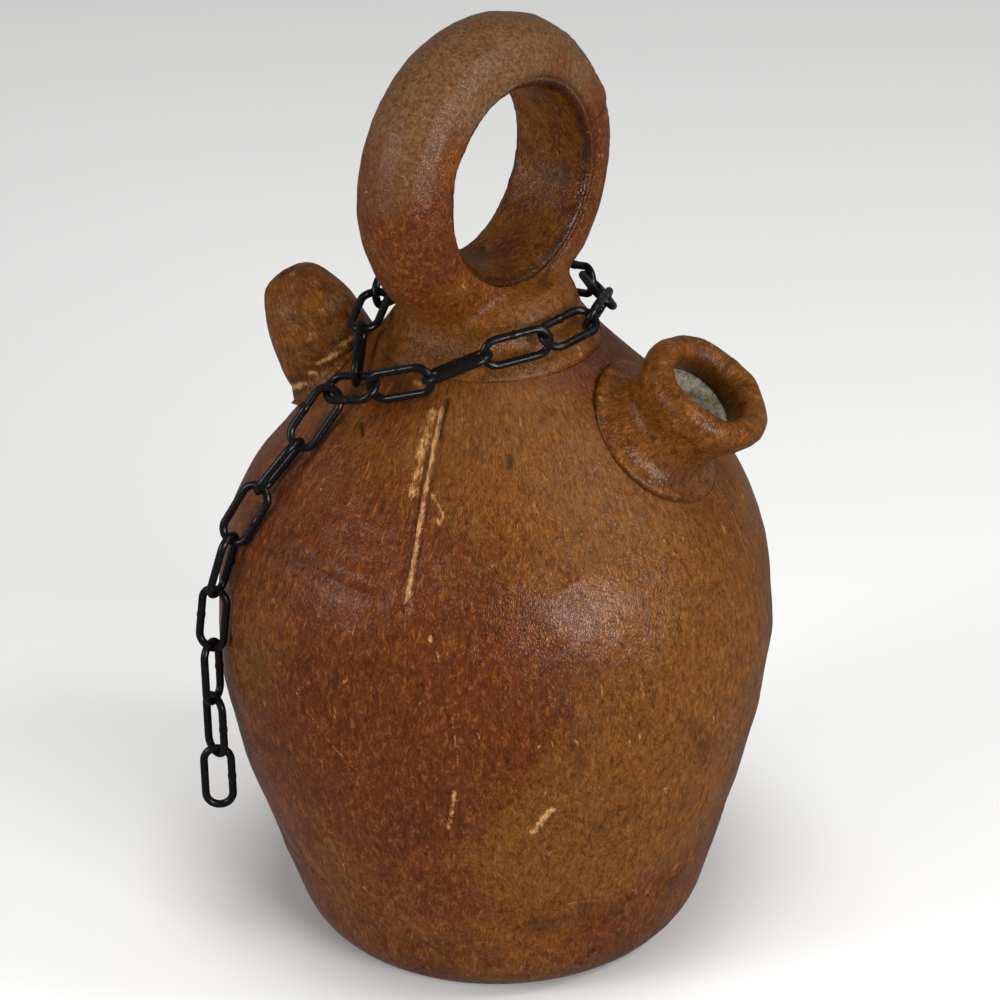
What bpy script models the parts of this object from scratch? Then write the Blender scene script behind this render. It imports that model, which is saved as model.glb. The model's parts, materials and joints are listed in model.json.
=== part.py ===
"""Leather-covered clay water jug with a ring handle, two spouts and a steel chain noosed round its neck.

Metres, +Z up. The origin is the centre of the flat foot. The spouts lie in the XZ plane, the wide one at +X.
The clay pot is one hollow thrown piece. Its leather skin is made of panels that lap, butt or wrap.
The chain is made of separate closed links, laid along a route on the shoulder and seated link in link.
"""

import math

import bmesh
import bpy
import numpy as np
from mathutils import Matrix, Vector

# Leather face of the jug, turned about Z: height above the floor and radius, and the heel's turn in degrees
FOOT_RADIUS = 0.0565
HEEL_HEIGHT = 0.022
HEEL_RADIUS = 0.0725
HEEL_TURN = 50.0
BELLY_HEIGHT = 0.115
BELLY_RADIUS = 0.0924
FLANK_HEIGHT = 0.065
FLANK_TAPER = 0.0069
FLANK_RADIUS = BELLY_RADIUS - FLANK_TAPER
SHOULDER_HEIGHT = 0.190
SHOULDER_RADIUS = 0.0572
UPPER_DROP = 0.030
UPPER_HEIGHT = SHOULDER_HEIGHT - UPPER_DROP
UPPER_TAPER = 0.0115
UPPER_RADIUS = BELLY_RADIUS - UPPER_TAPER
NECK_ROOT_RISE = 0.0165
NECK_ROOT_HEIGHT = SHOULDER_HEIGHT + NECK_ROOT_RISE
NECK_ROOT_RADIUS = 0.0410
WAIST_RISE = 0.0135
WAIST_HEIGHT = NECK_ROOT_HEIGHT + WAIST_RISE
WAIST_RADIUS = 0.0303

# Walls and fits
LEATHER = 0.0020
CLAY_WALL = 0.0070
FIT = 0.0003
SEAM_GAP = 0.0005

# Seams of the leather
CUP_HEIGHT = 0.040
SKIRT_RISE = 0.0040
SKIRT_HEIGHT = NECK_ROOT_HEIGHT + SKIRT_RISE
LAP_WIDTH = 0.0070
SKIVED_EDGE = 0.0009
TOP_EDGE = 0.0013
TURNED_EDGE = 0.0006
FRONT_SEAM_ANGLE = -83.5
REAR_SEAM_ANGLE = 90.0

# Ring handle
RING_RISE = 0.0480
RING_HEIGHT = WAIST_HEIGHT + RING_RISE
RING_TURN = -18.0
HOLE_RADIUS = 0.0302
RING_RADIUS = 0.0517
RING_HALF_WIDTH = 0.0162
RING_EDGE = 0.0035
LINER_EDGE = 0.0025

# Filling spout
FILLING_BASE_DROP = 0.0020
FILLING_BASE_HEIGHT = SHOULDER_HEIGHT - FILLING_BASE_DROP
FILLING_TILT = 45.5
FILLING_MOUTH_TILT = 36.0
FILLING_LENGTH = 0.0223
FILLING_FLANGE_RADIUS = 0.0252
FILLING_WAIST_RADIUS = 0.0165
FILLING_RIM_RADIUS = 0.0211
FILLING_MOUTH_RADIUS = 0.0143
FILLING_THROAT_RADIUS = 0.0120
FILLING_THROAT_SPREAD = 0.0020

# Drinking spout
DRINKING_BASE_RISE = 0.0020
DRINKING_BASE_HEIGHT = SHOULDER_HEIGHT + DRINKING_BASE_RISE
DRINKING_TILT = 29.5
DRINKING_LENGTH = 0.0323
DRINKING_FLANGE_RADIUS = 0.0180
DRINKING_ROOT_RADIUS = 0.0162
DRINKING_TIP_RADIUS = 0.0097
DRINKING_HOLE_RADIUS = 0.0019
DRINKING_THROAT_RADIUS = 0.0050

# Chain
WIRE = 0.0023
LINK_LENGTH = 0.0252
LINK_WIDTH = 0.0120
LINK_GAP = 0.00015
LINK_ROLL = 45.0
JUNCTION_ROLL = 7.0
NOOSE_START_ROLLS = (45.0, -58.0, 0.0, -60.0, 25.0)
HANG_ROUND_BOW = 55.0
TAIL_END_ROLLS = (-20.0, -73.5)
NOOSE_LINKS = 13
TAIL_LINKS = 8
STANDOFF = 0.0011
ROUTE_STEP = 0.0005

# Routes of the chain: degrees about Z, and height on the leather above the root of the neck
NOOSE_ROUTE = (
    (-115.3, -0.0031),
    (-101.0, 0.0017),
    (-82.0, 0.0057),
    (-64.0, 0.0120),
    (-46.0, 0.0165),
    (-21.0, 0.0190),
    (14.0, 0.0175),
    (44.0, 0.0135),
    (72.0, 0.0110),
    (109.0, 0.0115),
    (154.0, 0.0120),
    (199.0, 0.0108),
    (223.6, 0.0032),
)
SLACK_FROM = 25.0
SLACK_TO = 215.0
JUNCTION_END = (-135.0, -0.0088)
TAIL_ROUTE = (
    (-132.4, -0.0245),
    (-135.0, -0.0398),
    (-137.0, -0.0557),
    (-138.0, BELLY_HEIGHT - NECK_ROOT_HEIGHT),
)

# Facets and solving
SEGMENTS = 36
RING_SEGMENTS = 28
SPOUT_SEGMENTS = 20
WIRE_SIDES = 6
BOW_STEPS = 5
SEATING_ROUNDS = 50
SEATING_STEP = 0.4


def clear_scene():
    for item in list(bpy.data.objects):
        bpy.data.objects.remove(item, do_unlink=True)


def material(name, colour, roughness, metallic=0.0):
    """A plain Principled material."""
    made = bpy.data.materials.new(name)
    made.use_nodes = True
    shader = made.node_tree.nodes["Principled BSDF"]
    shader.inputs["Base Color"].default_value = (*colour, 1.0)
    shader.inputs["Roughness"].default_value = roughness
    shader.inputs["Metallic"].default_value = metallic
    return made


def smooth_through(xs, ys, at):
    """A cubic curve through the points, with slopes from their neighbours."""
    xs = np.asarray(xs, float)
    ys = np.asarray(ys, float)
    steps = np.diff(xs)
    rises = np.diff(ys) / steps
    slopes = np.empty_like(xs)
    slopes[0] = rises[0]
    slopes[-1] = rises[-1]
    slopes[1:-1] = (rises[:-1] * steps[1:] + rises[1:] * steps[:-1]) / (steps[1:] + steps[:-1])
    at = np.clip(at, xs[0], xs[-1])
    k = np.clip(np.searchsorted(xs, at) - 1, 0, len(xs) - 2)
    t = (at - xs[k]) / steps[k]
    rise_part = (3 - 2 * t) * t**2
    return (
        ys[k] * (1 - rise_part)
        + ys[k + 1] * rise_part
        + steps[k] * (slopes[k] * t * (1 - t) ** 2 - slopes[k + 1] * t**2 * (1 - t))
    )


STATIONS = (
    (HEEL_HEIGHT, HEEL_RADIUS),
    (FLANK_HEIGHT, FLANK_RADIUS),
    (BELLY_HEIGHT, BELLY_RADIUS),
    (UPPER_HEIGHT, UPPER_RADIUS),
    (SHOULDER_HEIGHT, SHOULDER_RADIUS),
    (NECK_ROOT_HEIGHT, NECK_ROOT_RADIUS),
    (WAIST_HEIGHT, WAIST_RADIUS),
)


def radius_at(height):
    """Radius of the leather face at a height between the heel and the waist of the neck."""
    heights, radii = zip(*STATIONS)
    return smooth_through(heights, radii, height)


def slope_at(height):
    step = 1e-5
    return (radius_at(height + step) - radius_at(height - step)) / (2 * step)


def offset_outline(points, distance, closed=False):
    """The outline moved sideways by distance, outwards where positive, with its corners mitred."""
    points = np.asarray(points, float)
    if closed:
        runs = np.roll(points, -1, axis=0) - points
        before = np.roll(runs, 1, axis=0)
    else:
        runs = np.diff(points, axis=0)
        before = np.vstack([runs[:1], runs])
        runs = np.vstack([runs, runs[-1:]])
    runs = runs / np.linalg.norm(runs, axis=1)[:, None]
    before = before / np.linalg.norm(before, axis=1)[:, None]
    out = np.column_stack([runs[:, 1], -runs[:, 0]])
    out_before = np.column_stack([before[:, 1], -before[:, 0]])
    mitre = (out + out_before) / (1 + (out * out_before).sum(axis=1))[:, None]
    return points + distance * mitre


def jug_profile():
    """Half outline of the leather face from the axis at the foot to the axis on top of the neck."""
    heel_end = math.radians(HEEL_TURN)
    heel_out = (HEEL_RADIUS - FOOT_RADIUS) / math.sin(heel_end)
    heel_up = HEEL_HEIGHT / (1 - math.cos(heel_end))
    heel = [
        (FOOT_RADIUS + heel_out * math.sin(turn), heel_up * (1 - math.cos(turn)))
        for turn in np.linspace(0.0, heel_end, 5)
    ]
    seam = SEAM_GAP / 2
    cup_rows = [CUP_HEIGHT - seam, CUP_HEIGHT + seam]
    wall_rows = list(np.linspace(CUP_HEIGHT, SHOULDER_HEIGHT, 10)[1:])
    shoulder_rows = list(np.linspace(SHOULDER_HEIGHT, SKIRT_HEIGHT, 5)[1:-1])
    skirt_rows = [SKIRT_HEIGHT - seam, SKIRT_HEIGHT + seam]
    neck_rows = list(np.linspace(SKIRT_HEIGHT, WAIST_HEIGHT, 4)[1:])
    heights = cup_rows + wall_rows + shoulder_rows + skirt_rows + neck_rows
    walls = [(float(radius_at(height)), height) for height in heights]
    top_turn = np.linspace(0.0, math.pi / 2, 4)
    top_height = RING_HEIGHT - HOLE_RADIUS - LINER_EDGE - FIT - WAIST_HEIGHT
    top = [
        (WAIST_RADIUS * (0.55 + 0.45 * math.cos(turn)), WAIST_HEIGHT + top_height * math.sin(turn))
        for turn in top_turn
    ]
    return np.array([(0.0, 0.0)] + heel + walls + top[1:] + [(0.0, WAIST_HEIGHT + top_height)])


PROFILE = jug_profile()
CLAY_FACE = -(LEATHER + FIT)


def rows_between(low, high):
    """Rows of the profile from one height to another, without the flat foot."""
    return [k for k, (radius, height) in enumerate(PROFILE) if low <= height <= high and radius > 0]


def add_object(name, shape, look, helper=False):
    """Puts a bmesh into the scene as one object. A helper is a cutter and isn't part of the jug."""
    bmesh.ops.recalc_face_normals(shape, faces=shape.faces)
    mesh = bpy.data.meshes.new(name)
    shape.to_mesh(mesh)
    shape.free()
    mesh.shade_smooth()
    mesh.set_sharp_from_angle(angle=math.radians(40))
    made = bpy.data.objects.new(name, mesh)
    bpy.context.scene.collection.objects.link(made)
    if look is not None:
        mesh.materials.append(look)
    if helper:
        made.hide_render = True
        made.display_type = "WIRE"
    return made


def combine(target, other, operation):
    """Adds a Boolean to the target: UNION, DIFFERENCE or INTERSECT with a helper."""
    modifier = target.modifiers.new(other.name, "BOOLEAN")
    modifier.operation = operation
    modifier.object = other


def turned(name, outline, look=None, helper=False, segments=SEGMENTS):
    """A solid of revolution about Z. The outline is closed, or starts and ends on the axis."""
    shape = bmesh.new()
    corners = [shape.verts.new((radius, 0.0, height)) for radius, height in outline]
    edges = [shape.edges.new(pair) for pair in zip(corners, corners[1:])]
    if outline[0][0] > 0:
        edges.append(shape.edges.new((corners[-1], corners[0])))
    bmesh.ops.spin(
        shape,
        geom=corners + edges,
        axis=(0, 0, 1),
        cent=(0, 0, 0),
        angle=2 * math.pi,
        steps=segments,
        use_merge=True,
    )
    bmesh.ops.remove_doubles(shape, verts=shape.verts, dist=1e-6)
    return add_object(name, shape, look, helper)


def lofted(name, rings, look=None, helper=False, closed=False):
    """A solid through rings of points. Its ends are capped, or it closes on itself."""
    shape = bmesh.new()
    rows = [[shape.verts.new(point) for point in ring] for ring in rings]
    pairs = list(zip(rows, rows[1:]))
    if closed:
        pairs.append((rows[-1], rows[0]))
    for row, following in pairs:
        for k in range(len(row)):
            after = (k + 1) % len(row)
            shape.faces.new((row[k], row[after], following[after], following[k]))
    if not closed:
        shape.faces.new(rows[0])
        shape.faces.new(rows[-1])
    return add_object(name, shape, look, helper)


def ring_section(grow):
    """Section of the ring handle as (distance from the bore's axis, place along the axis)."""
    corner = np.linspace(0.0, math.pi / 2, 3)
    near = HOLE_RADIUS + RING_EDGE
    side = RING_HALF_WIDTH - RING_EDGE
    inner = [(near - RING_EDGE * math.cos(a), side + RING_EDGE * math.sin(a)) for a in corner]
    crown = np.linspace(math.pi / 2, 0.0, 5)
    depth = RING_RADIUS - near - RING_EDGE
    outer = [
        (near + RING_EDGE + depth * math.cos(a), RING_HALF_WIDTH * math.sin(a))
        for a in crown
    ]
    half = inner + outer
    mirrored = [(radius, -place) for radius, place in reversed(half[:-1])]
    return offset_outline((half + mirrored)[::-1], grow, closed=True)


def ring_frame():
    """Bore axis and in-plane side direction of the ring handle."""
    turn = math.radians(RING_TURN)
    return Vector((math.cos(turn), math.sin(turn), 0)), Vector((-math.sin(turn), math.cos(turn), 0))


def ring_solid(name, grow, look=None, helper=False):
    axis, side = ring_frame()
    centre = Vector((0, 0, RING_HEIGHT))
    section = ring_section(grow)
    rings = []
    for step in range(RING_SEGMENTS):
        turn = 2 * math.pi * (step + 0.5) / RING_SEGMENTS
        outward = side * math.cos(turn) + Vector((0, 0, math.sin(turn)))
        rings.append([centre + outward * radius + axis * place for radius, place in section])
    return lofted(name, rings, look, helper, closed=True)


def bore_cylinder(name, radius, half_length):
    """A cylinder along the ring handle's bore."""
    axis, side = ring_frame()
    centre = Vector((0, 0, RING_HEIGHT))
    turns = [2 * math.pi * (k + 0.5) / RING_SEGMENTS for k in range(RING_SEGMENTS)]
    circle = [centre + (side * math.cos(t) + Vector((0, 0, math.sin(t)))) * radius for t in turns]
    ends = (-half_length, half_length)
    return lofted(name, [[point + axis * place for point in circle] for place in ends], helper=True)


class Spout:
    """A spout on the shoulder: a line out of the jug's face, along which round sections are placed."""

    def __init__(self, direction, base_height, tilt, end_tilt, length):
        self.direction = direction
        self.base = Vector((direction * float(radius_at(base_height)), 0, base_height))
        self.tilt = math.radians(tilt)
        self.end_tilt = math.radians(end_tilt)
        self.length = length

    def leaning(self, tilt):
        return Vector((self.direction * math.sin(tilt), 0, math.cos(tilt)))

    def circle(self, centre, normal, radius):
        """Points round a circle. None lies in the plane of the spouts, where the jug has its own edges."""
        across = Vector((0, 1, 0))
        up = normal.cross(across)
        turns = [2 * math.pi * (k + 0.5) / SPOUT_SEGMENTS for k in range(SPOUT_SEGMENTS)]
        return [centre + (across * math.cos(t) + up * math.sin(t)) * radius for t in turns]

    def ring(self, along, radius):
        """Round section at a distance along the line, turned towards the mouth's own tilt."""
        share = min(max(along / self.length, 0.0), 1.0)
        normal = self.leaning(self.tilt + (self.end_tilt - self.tilt) * share)
        centre = self.base + self.leaning(self.tilt) * min(along, self.length)
        return self.circle(centre + normal * max(along - self.length, 0.0), normal, radius)

    def solid(self, name, outline, look=None):
        """A solid through round sections, given as (radius, distance along the line)."""
        rings = [self.ring(along, radius) for radius, along in outline]
        return lofted(name, rings, look, helper=look is None)

    def collar(self, name, radius, depth, reach):
        """A straight cylinder round the spout's root, from inside the wall to past the mouth."""
        line = self.leaning(self.tilt)
        rings = [self.circle(self.base + line * along, line, radius) for along in (-depth, reach)]
        return lofted(name, rings, helper=True)


FILLING = Spout(1, FILLING_BASE_HEIGHT, FILLING_TILT, FILLING_MOUTH_TILT, FILLING_LENGTH)
DRINKING = Spout(-1, DRINKING_BASE_HEIGHT, DRINKING_TILT, DRINKING_TILT, DRINKING_LENGTH)
SPOUT_ROOT = LEATHER + FIT + CLAY_WALL
COLLAR_DEPTH = 0.012


def filling_outline(grow):
    """Outer face of the filling spout: waist, flare and rolled rim, all moved out by grow."""
    roll = (FILLING_RIM_RADIUS - FILLING_MOUTH_RADIUS) / 2
    flare = FILLING_RIM_RADIUS - FILLING_WAIST_RADIUS
    root = -SPOUT_ROOT / FILLING_LENGTH
    shares = ((root, 0.75), (0.10, 0.28), (0.34, 0.0), (0.60, 0.30), (0.82, 0.80), (1.0, 1.0))
    outline = [(FILLING_WAIST_RADIUS + share * flare, along * FILLING_LENGTH) for along, share in shares]
    for turn in (35, 65, 90):
        angle = math.radians(turn)
        radius = FILLING_RIM_RADIUS - roll + roll * math.cos(angle)
        outline.append((radius, FILLING_LENGTH + roll * math.sin(angle)))
    return offset_outline(outline, grow)


def filling_bore(grow):
    """Bore of the filling spout, from down in the jug to past the mouth."""
    length = FILLING_LENGTH
    roll = (FILLING_RIM_RADIUS - FILLING_MOUTH_RADIUS) / 2
    return (
        (FILLING_THROAT_RADIUS + FILLING_THROAT_SPREAD, -(LEATHER + CLAY_WALL) * 1.7),
        (FILLING_THROAT_RADIUS, -LEATHER - CLAY_WALL / 2),
        ((FILLING_THROAT_RADIUS + FILLING_MOUTH_RADIUS) / 2 + grow, 0.50 * length),
        (FILLING_MOUTH_RADIUS + grow, 0.90 * length),
        (FILLING_MOUTH_RADIUS + grow, length + 0.5 * roll),
        (FILLING_MOUTH_RADIUS + 0.7 * roll + grow, length + 1.6 * roll),
    )


def drinking_outline(grow):
    """Outer face of the drinking spout: a swelling cone with a rounded end, moved out by grow."""
    taper = DRINKING_ROOT_RADIUS - DRINKING_TIP_RADIUS
    length = DRINKING_LENGTH
    root = -SPOUT_ROOT / length
    shares = ((root, 1.10), (0.12, 0.95), (0.40, 0.80), (0.65, 0.58), (0.84, 0.28), (0.96, 0.0))
    outline = [(DRINKING_TIP_RADIUS + share * taper, along * length) for along, share in shares]
    outline.append((0.82 * DRINKING_TIP_RADIUS, length))
    outline.append((0.50 * DRINKING_TIP_RADIUS, length + 0.18 * DRINKING_TIP_RADIUS))
    return offset_outline(outline, grow)


def drinking_bore():
    """Bore of the drinking spout: a fine hole at the tip that widens towards the jug."""
    length = DRINKING_LENGTH
    return (
        (DRINKING_THROAT_RADIUS, -(LEATHER + CLAY_WALL) * 1.6),
        (0.7 * DRINKING_THROAT_RADIUS, 0.55 * length),
        (DRINKING_HOLE_RADIUS, 0.85 * length),
        (DRINKING_HOLE_RADIUS, 1.2 * length),
    )


def clay_vessel(look):
    """The pot: turned body, solid ring handle, two spouts, hollow inside and open at both spouts."""
    outer = offset_outline(PROFILE, CLAY_FACE)
    outer[[0, -1], 0] = 0.0
    keep = [k for k in range(len(outer)) if k == 0 or np.linalg.norm(outer[k] - outer[k - 1]) > 2 * FIT]
    pot = turned("clay_vessel", outer[keep], look)
    combine(pot, ring_solid("clay_ring_core", CLAY_FACE, helper=True), "UNION")
    combine(pot, FILLING.solid("clay_filling_spout", filling_outline(CLAY_FACE)), "UNION")
    combine(pot, DRINKING.solid("clay_drinking_spout", drinking_outline(CLAY_FACE)), "UNION")
    wall = offset_outline(PROFILE, CLAY_FACE - CLAY_WALL)
    inside = [(0.0, wall[0][1])] + [tuple(wall[k]) for k in rows_between(0, WAIST_HEIGHT)[::2]]
    radius, height = inside[-1]
    inside += [(0.6 * radius, height + 0.3 * radius), (0.0, height + 0.4 * radius)]
    combine(pot, turned("hollow", inside, helper=True), "DIFFERENCE")
    combine(pot, FILLING.solid("filling_bore", filling_bore(FIT)), "DIFFERENCE")
    combine(pot, DRINKING.solid("drinking_bore", drinking_bore()), "DIFFERENCE")
    return pot


def base_cup(look):
    """Moulded leather cup round the foot and heel, its upper edge turned out."""
    rows = [0] + rows_between(0, CUP_HEIGHT)
    face = PROFILE[rows]
    back = offset_outline(PROFILE, -LEATHER)[rows]
    back[0][0] = 0.0
    face[-1] += (TURNED_EDGE, 0)
    return turned("base_cup", list(face) + list(back[::-1]), look)


def wall_panel(name, start, end, look):
    """One side panel between two upright seams. Its first edge laps over its neighbour."""
    half_lap = math.degrees(LAP_WIDTH / BELLY_RADIUS) / 2
    gap = math.degrees(2 * FIT / BELLY_RADIUS)
    slope = math.degrees(LEATHER / BELLY_RADIUS)
    over_back = -LEATHER + SKIVED_EDGE + FIT
    over_face = over_back + TOP_EDGE
    under_face = -LEATHER + SKIVED_EDGE
    columns = [(start - half_lap + gap, over_back, over_face), (start + half_lap, over_back, over_face)]
    columns.append((start + half_lap + slope, -LEATHER, 0.0))
    step = 360 / SEGMENTS
    first = math.ceil((start + half_lap + slope + 1) / step)
    last = math.floor((end - half_lap - slope - 1) / step)
    columns += [(step * k, -LEATHER, 0.0) for k in range(first, last + 1)]
    columns.append((end - half_lap - slope, -LEATHER, 0.0))
    columns += [(end - half_lap, -LEATHER, under_face), (end + half_lap - gap, -LEATHER, under_face)]
    rows = rows_between(CUP_HEIGHT, SKIRT_HEIGHT)
    shifts = offset_outline(PROFILE, 1.0) - PROFILE
    rings = []
    for angle, back, face in columns:
        turn = math.radians(angle)
        ring = [PROFILE[k] + shifts[k] * face for k in rows]
        ring += [PROFILE[k] + shifts[k] * back for k in rows[::-1]]
        rings.append([(radius * math.cos(turn), radius * math.sin(turn), height) for radius, height in ring])
    return lofted(name, rings, look)


def half_space(name, height, below=True):
    """A big block whose one face is level, to cut at a height."""
    size = 4 * BELLY_RADIUS
    shape = bmesh.new()
    bmesh.ops.create_cube(shape, size=size)
    middle = height - size / 2 if below else height + size / 2
    bmesh.ops.translate(shape, vec=(0, 0, middle), verts=shape.verts)
    return add_object(name, shape, None, helper=True)


def handle_cover(look):
    """Leather over the outside of the ring handle and down the neck to the skirt line."""
    cover = ring_solid("handle_cover", 0.0, look)
    combine(cover, turned("neck_face", PROFILE, helper=True), "UNION")
    combine(cover, half_space("below_skirt", SKIRT_HEIGHT + SEAM_GAP / 2), "DIFFERENCE")
    combine(cover, ring_solid("ring_backing", -LEATHER, helper=True), "DIFFERENCE")
    backing = offset_outline(PROFILE, -LEATHER)
    backing[[0, -1], 0] = 0.0
    combine(cover, turned("neck_backing", backing, helper=True), "DIFFERENCE")
    liner_room = bore_cylinder("liner_room", HOLE_RADIUS + LINER_EDGE + FIT, 3 * RING_HALF_WIDTH)
    combine(cover, liner_room, "DIFFERENCE")
    return cover


def bore_liner(look):
    """Leather strip lining the ring handle's bore, turned out over both rims."""
    liner = ring_solid("handle_bore_liner", 0.0, look)
    combine(liner, bpy.data.objects["ring_backing"], "DIFFERENCE")
    combine(liner, bore_cylinder("liner_reach", HOLE_RADIUS + LINER_EDGE, 3 * RING_HALF_WIDTH), "INTERSECT")
    return liner


def spout_sleeve(name, spout, outline, bore, flange_radius, reach, look):
    """Leather drawn over one spout, with a round flange lying on the shoulder."""
    sleeve = spout.solid(name, outline(0.0), look)
    combine(sleeve, bpy.data.objects["neck_face"], "UNION")
    combine(sleeve, spout.collar(name + "_reach", flange_radius, COLLAR_DEPTH, reach), "INTERSECT")
    combine(sleeve, bpy.data.objects["neck_backing"], "DIFFERENCE")
    combine(sleeve, spout.solid(name + "_backing", outline(-LEATHER)), "DIFFERENCE")
    combine(sleeve, spout.solid(name + "_bore", bore), "DIFFERENCE")
    return sleeve


def link_path():
    """Corners of the middle of a link's wire, with their outward directions, in the link's own XY plane."""
    bow = (LINK_WIDTH - WIRE) / 2
    reach = (LINK_LENGTH - WIRE) / 2 - bow
    corners = []
    for side in (1, -1):
        for step in range(BOW_STEPS + 1):
            turn = math.pi * (step / BOW_STEPS - 0.5)
            outward = np.array([side * math.cos(turn), side * math.sin(turn), 0.0])
            corners.append((np.array([side * reach, 0.0, 0.0]) + bow * outward, outward))
    return corners


def link_rings():
    """Sections of the wire at each corner of its path."""
    turns = [2 * math.pi * (k + 0.5) / WIRE_SIDES for k in range(WIRE_SIDES)]
    upright = np.array([0.0, 0.0, 1.0])
    return [
        [corner + WIRE / 2 * (outward * math.cos(turn) + upright * math.sin(turn)) for turn in turns]
        for corner, outward in link_path()
    ]


def unit(vector):
    return vector / np.linalg.norm(vector)


class Link:
    """One link's place: its middle, the direction of its length and the normal of its plane."""

    def __init__(self, start, end, normal):
        self.middle = (start + end) / 2
        self.along = unit(end - start)
        self.normal = unit(normal - self.along * np.dot(normal, self.along))
        self.across = np.cross(self.normal, self.along)

    def wire(self):
        """Corners of the middle of the wire."""
        flat = np.array([corner for corner, _ in link_path()])
        return self.middle + flat[:, :1] * self.along + flat[:, 1:2] * self.across

    def matrix(self):
        frame = Matrix(np.column_stack([self.along, self.across, self.normal]).tolist()).to_4x4()
        return Matrix.Translation(Vector(self.middle)) @ frame


def wire_distance(first, second):
    """Distance between the middles of two links' wires, taken from every straight stretch to every other."""
    starts, others = first.wire()[:, None, :], second.wire()[None, :, :]
    runs = np.roll(starts, -1, axis=0) - starts
    other_runs = np.roll(others, -1, axis=1) - others
    apart = starts - others
    run_sq = (runs * runs).sum(axis=2)
    other_sq = (other_runs * other_runs).sum(axis=2)
    cross = (runs * other_runs).sum(axis=2)
    ahead = (runs * apart).sum(axis=2)
    other_ahead = (other_runs * apart).sum(axis=2)
    share = (cross * other_ahead - ahead * other_sq) / np.maximum(run_sq * other_sq - cross**2, 1e-18)
    share = np.clip(share, 0, 1)
    other_share = np.clip((cross * share + other_ahead) / other_sq, 0, 1)
    share = np.clip((cross * other_share - ahead) / run_sq, 0, 1)
    between = apart + share[..., None] * runs - other_share[..., None] * other_runs
    return float(np.sqrt((between**2).sum(axis=2)).min())


def over_leather(angle, height, lift):
    """A point this far off the leather face, and the face's normal there."""
    slope = float(slope_at(height))
    turn = math.radians(angle)
    out = unit(np.array([math.cos(turn), math.sin(turn), -slope]))
    radius = float(radius_at(height))
    point = np.array([radius * math.cos(turn), radius * math.sin(turn), height])
    return point + lift * out, out


def noose_guide(slack, end):
    """Dense points and normals along the noose and past its closing point. Slack lowers its rear."""
    angles, rises = zip(*NOOSE_ROUTE)
    dense = np.linspace(angles[0], angles[-1], 400)
    share = np.clip((dense - SLACK_FROM) / (SLACK_TO - SLACK_FROM), 0, 1)
    heights = NECK_ROOT_HEIGHT + smooth_through(angles, rises, dense) - slack * np.sin(math.pi * share) ** 2
    guide = [over_leather(angle, height, NOOSE_LIFT) for angle, height in zip(dense, heights)]
    last, normal = guide[-1]
    onward = unit(end - last)
    steps = np.arange(ROUTE_STEP, 3 * LINK_LENGTH, ROUTE_STEP)
    return guide + [(last + onward * step, normal) for step in steps]


def tail_guide(hung_from):
    """Dense points and normals of the tail: down the shoulder, then hanging plumb past the belly."""
    angles, rises = zip(*TAIL_ROUTE)
    first, face_normal = over_leather(angles[0], NECK_ROOT_HEIGHT + rises[0], TAIL_LIFT)
    guide = [(hung_from + (first - hung_from) * share, face_normal) for share in np.linspace(0, 1, 100)[:-1]]
    for at in np.linspace(0, len(TAIL_ROUTE) - 1, 200):
        angle = np.interp(at, range(len(angles)), angles)
        height = NECK_ROOT_HEIGHT + np.interp(at, range(len(rises)), rises)
        guide.append(over_leather(angle, height, TAIL_LIFT))
    last, normal = guide[-1]
    drops = np.linspace(0.0, TAIL_LINKS * LINK_LENGTH, 200)[1:]
    return guide + [(last - np.array([0, 0, drop]), normal) for drop in drops]


def march(guide, pitches):
    """Points along the guide a pitch apart in a straight line, and the normal midway between each two."""
    points = np.array([point for point, _ in guide])
    normals = np.array([normal for _, normal in guide])
    found = [points[0]]
    between = []
    at = 0
    for pitch in pitches:
        away = np.linalg.norm(points[at:] - found[-1], axis=1)
        step = int(np.argmax(away >= pitch))
        share = (pitch - away[step - 1]) / (away[step] - away[step - 1])
        between.append(normals[at + step // 2])
        found.append(points[at + step - 1] * (1 - share) + points[at + step] * share)
        at += step - 1
    return found, between


def rolled(normal, along, degrees):
    """The face normal, square to the link and rolled about its length."""
    along = unit(along)
    square = unit(normal - along * np.dot(normal, along))
    turn = math.radians(degrees)
    return square * math.cos(turn) + np.cross(along, square) * math.sin(turn)


FREE_PITCH = LINK_LENGTH - 2 * WIRE - LINK_GAP
BOW_RADIUS = (LINK_WIDTH - WIRE) / 2
ROLLED_REACH = BOW_RADIUS * math.sin(math.radians(LINK_ROLL)) + WIRE / 2
NECK_SAG = FREE_PITCH**2 / (8 * (WAIST_RADIUS + ROLLED_REACH))
TAIL_LIFT = ROLLED_REACH + STANDOFF
NOOSE_LIFT = TAIL_LIFT + NECK_SAG


def place_links(guide, pitches, rolls):
    points, normals = march(guide, pitches)
    return [
        Link(points[k], points[k + 1], rolled(normals[k], points[k + 1] - points[k], roll))
        for k, roll in enumerate(rolls)
    ]


def shortfall(first, second):
    """How far two links' wires are from just clearing each other."""
    return WIRE + LINK_GAP - wire_distance(first, second)


def close_pitches(pitches, links):
    """Draws a run of links together until each pair's wires just clear, changing pitches the least."""
    shortfalls = [shortfall(*pair) for pair in zip(links, links[1:])]
    halves = (np.eye(len(shortfalls), len(links)) + np.eye(len(shortfalls), len(links), 1)) / 2
    pitches -= SEATING_STEP * np.linalg.pinv(halves) @ shortfalls


def upper_side(link):
    """Direction from the middle of a link to its upper side wire."""
    return link.across if link.across[2] > 0 else -link.across


def closing_point(junction):
    """Where the noose's last bow meets the upper side wire of the junction link."""
    return junction.middle + upper_side(junction) * (BOW_RADIUS - (WIRE + LINK_GAP) / 2)


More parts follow.
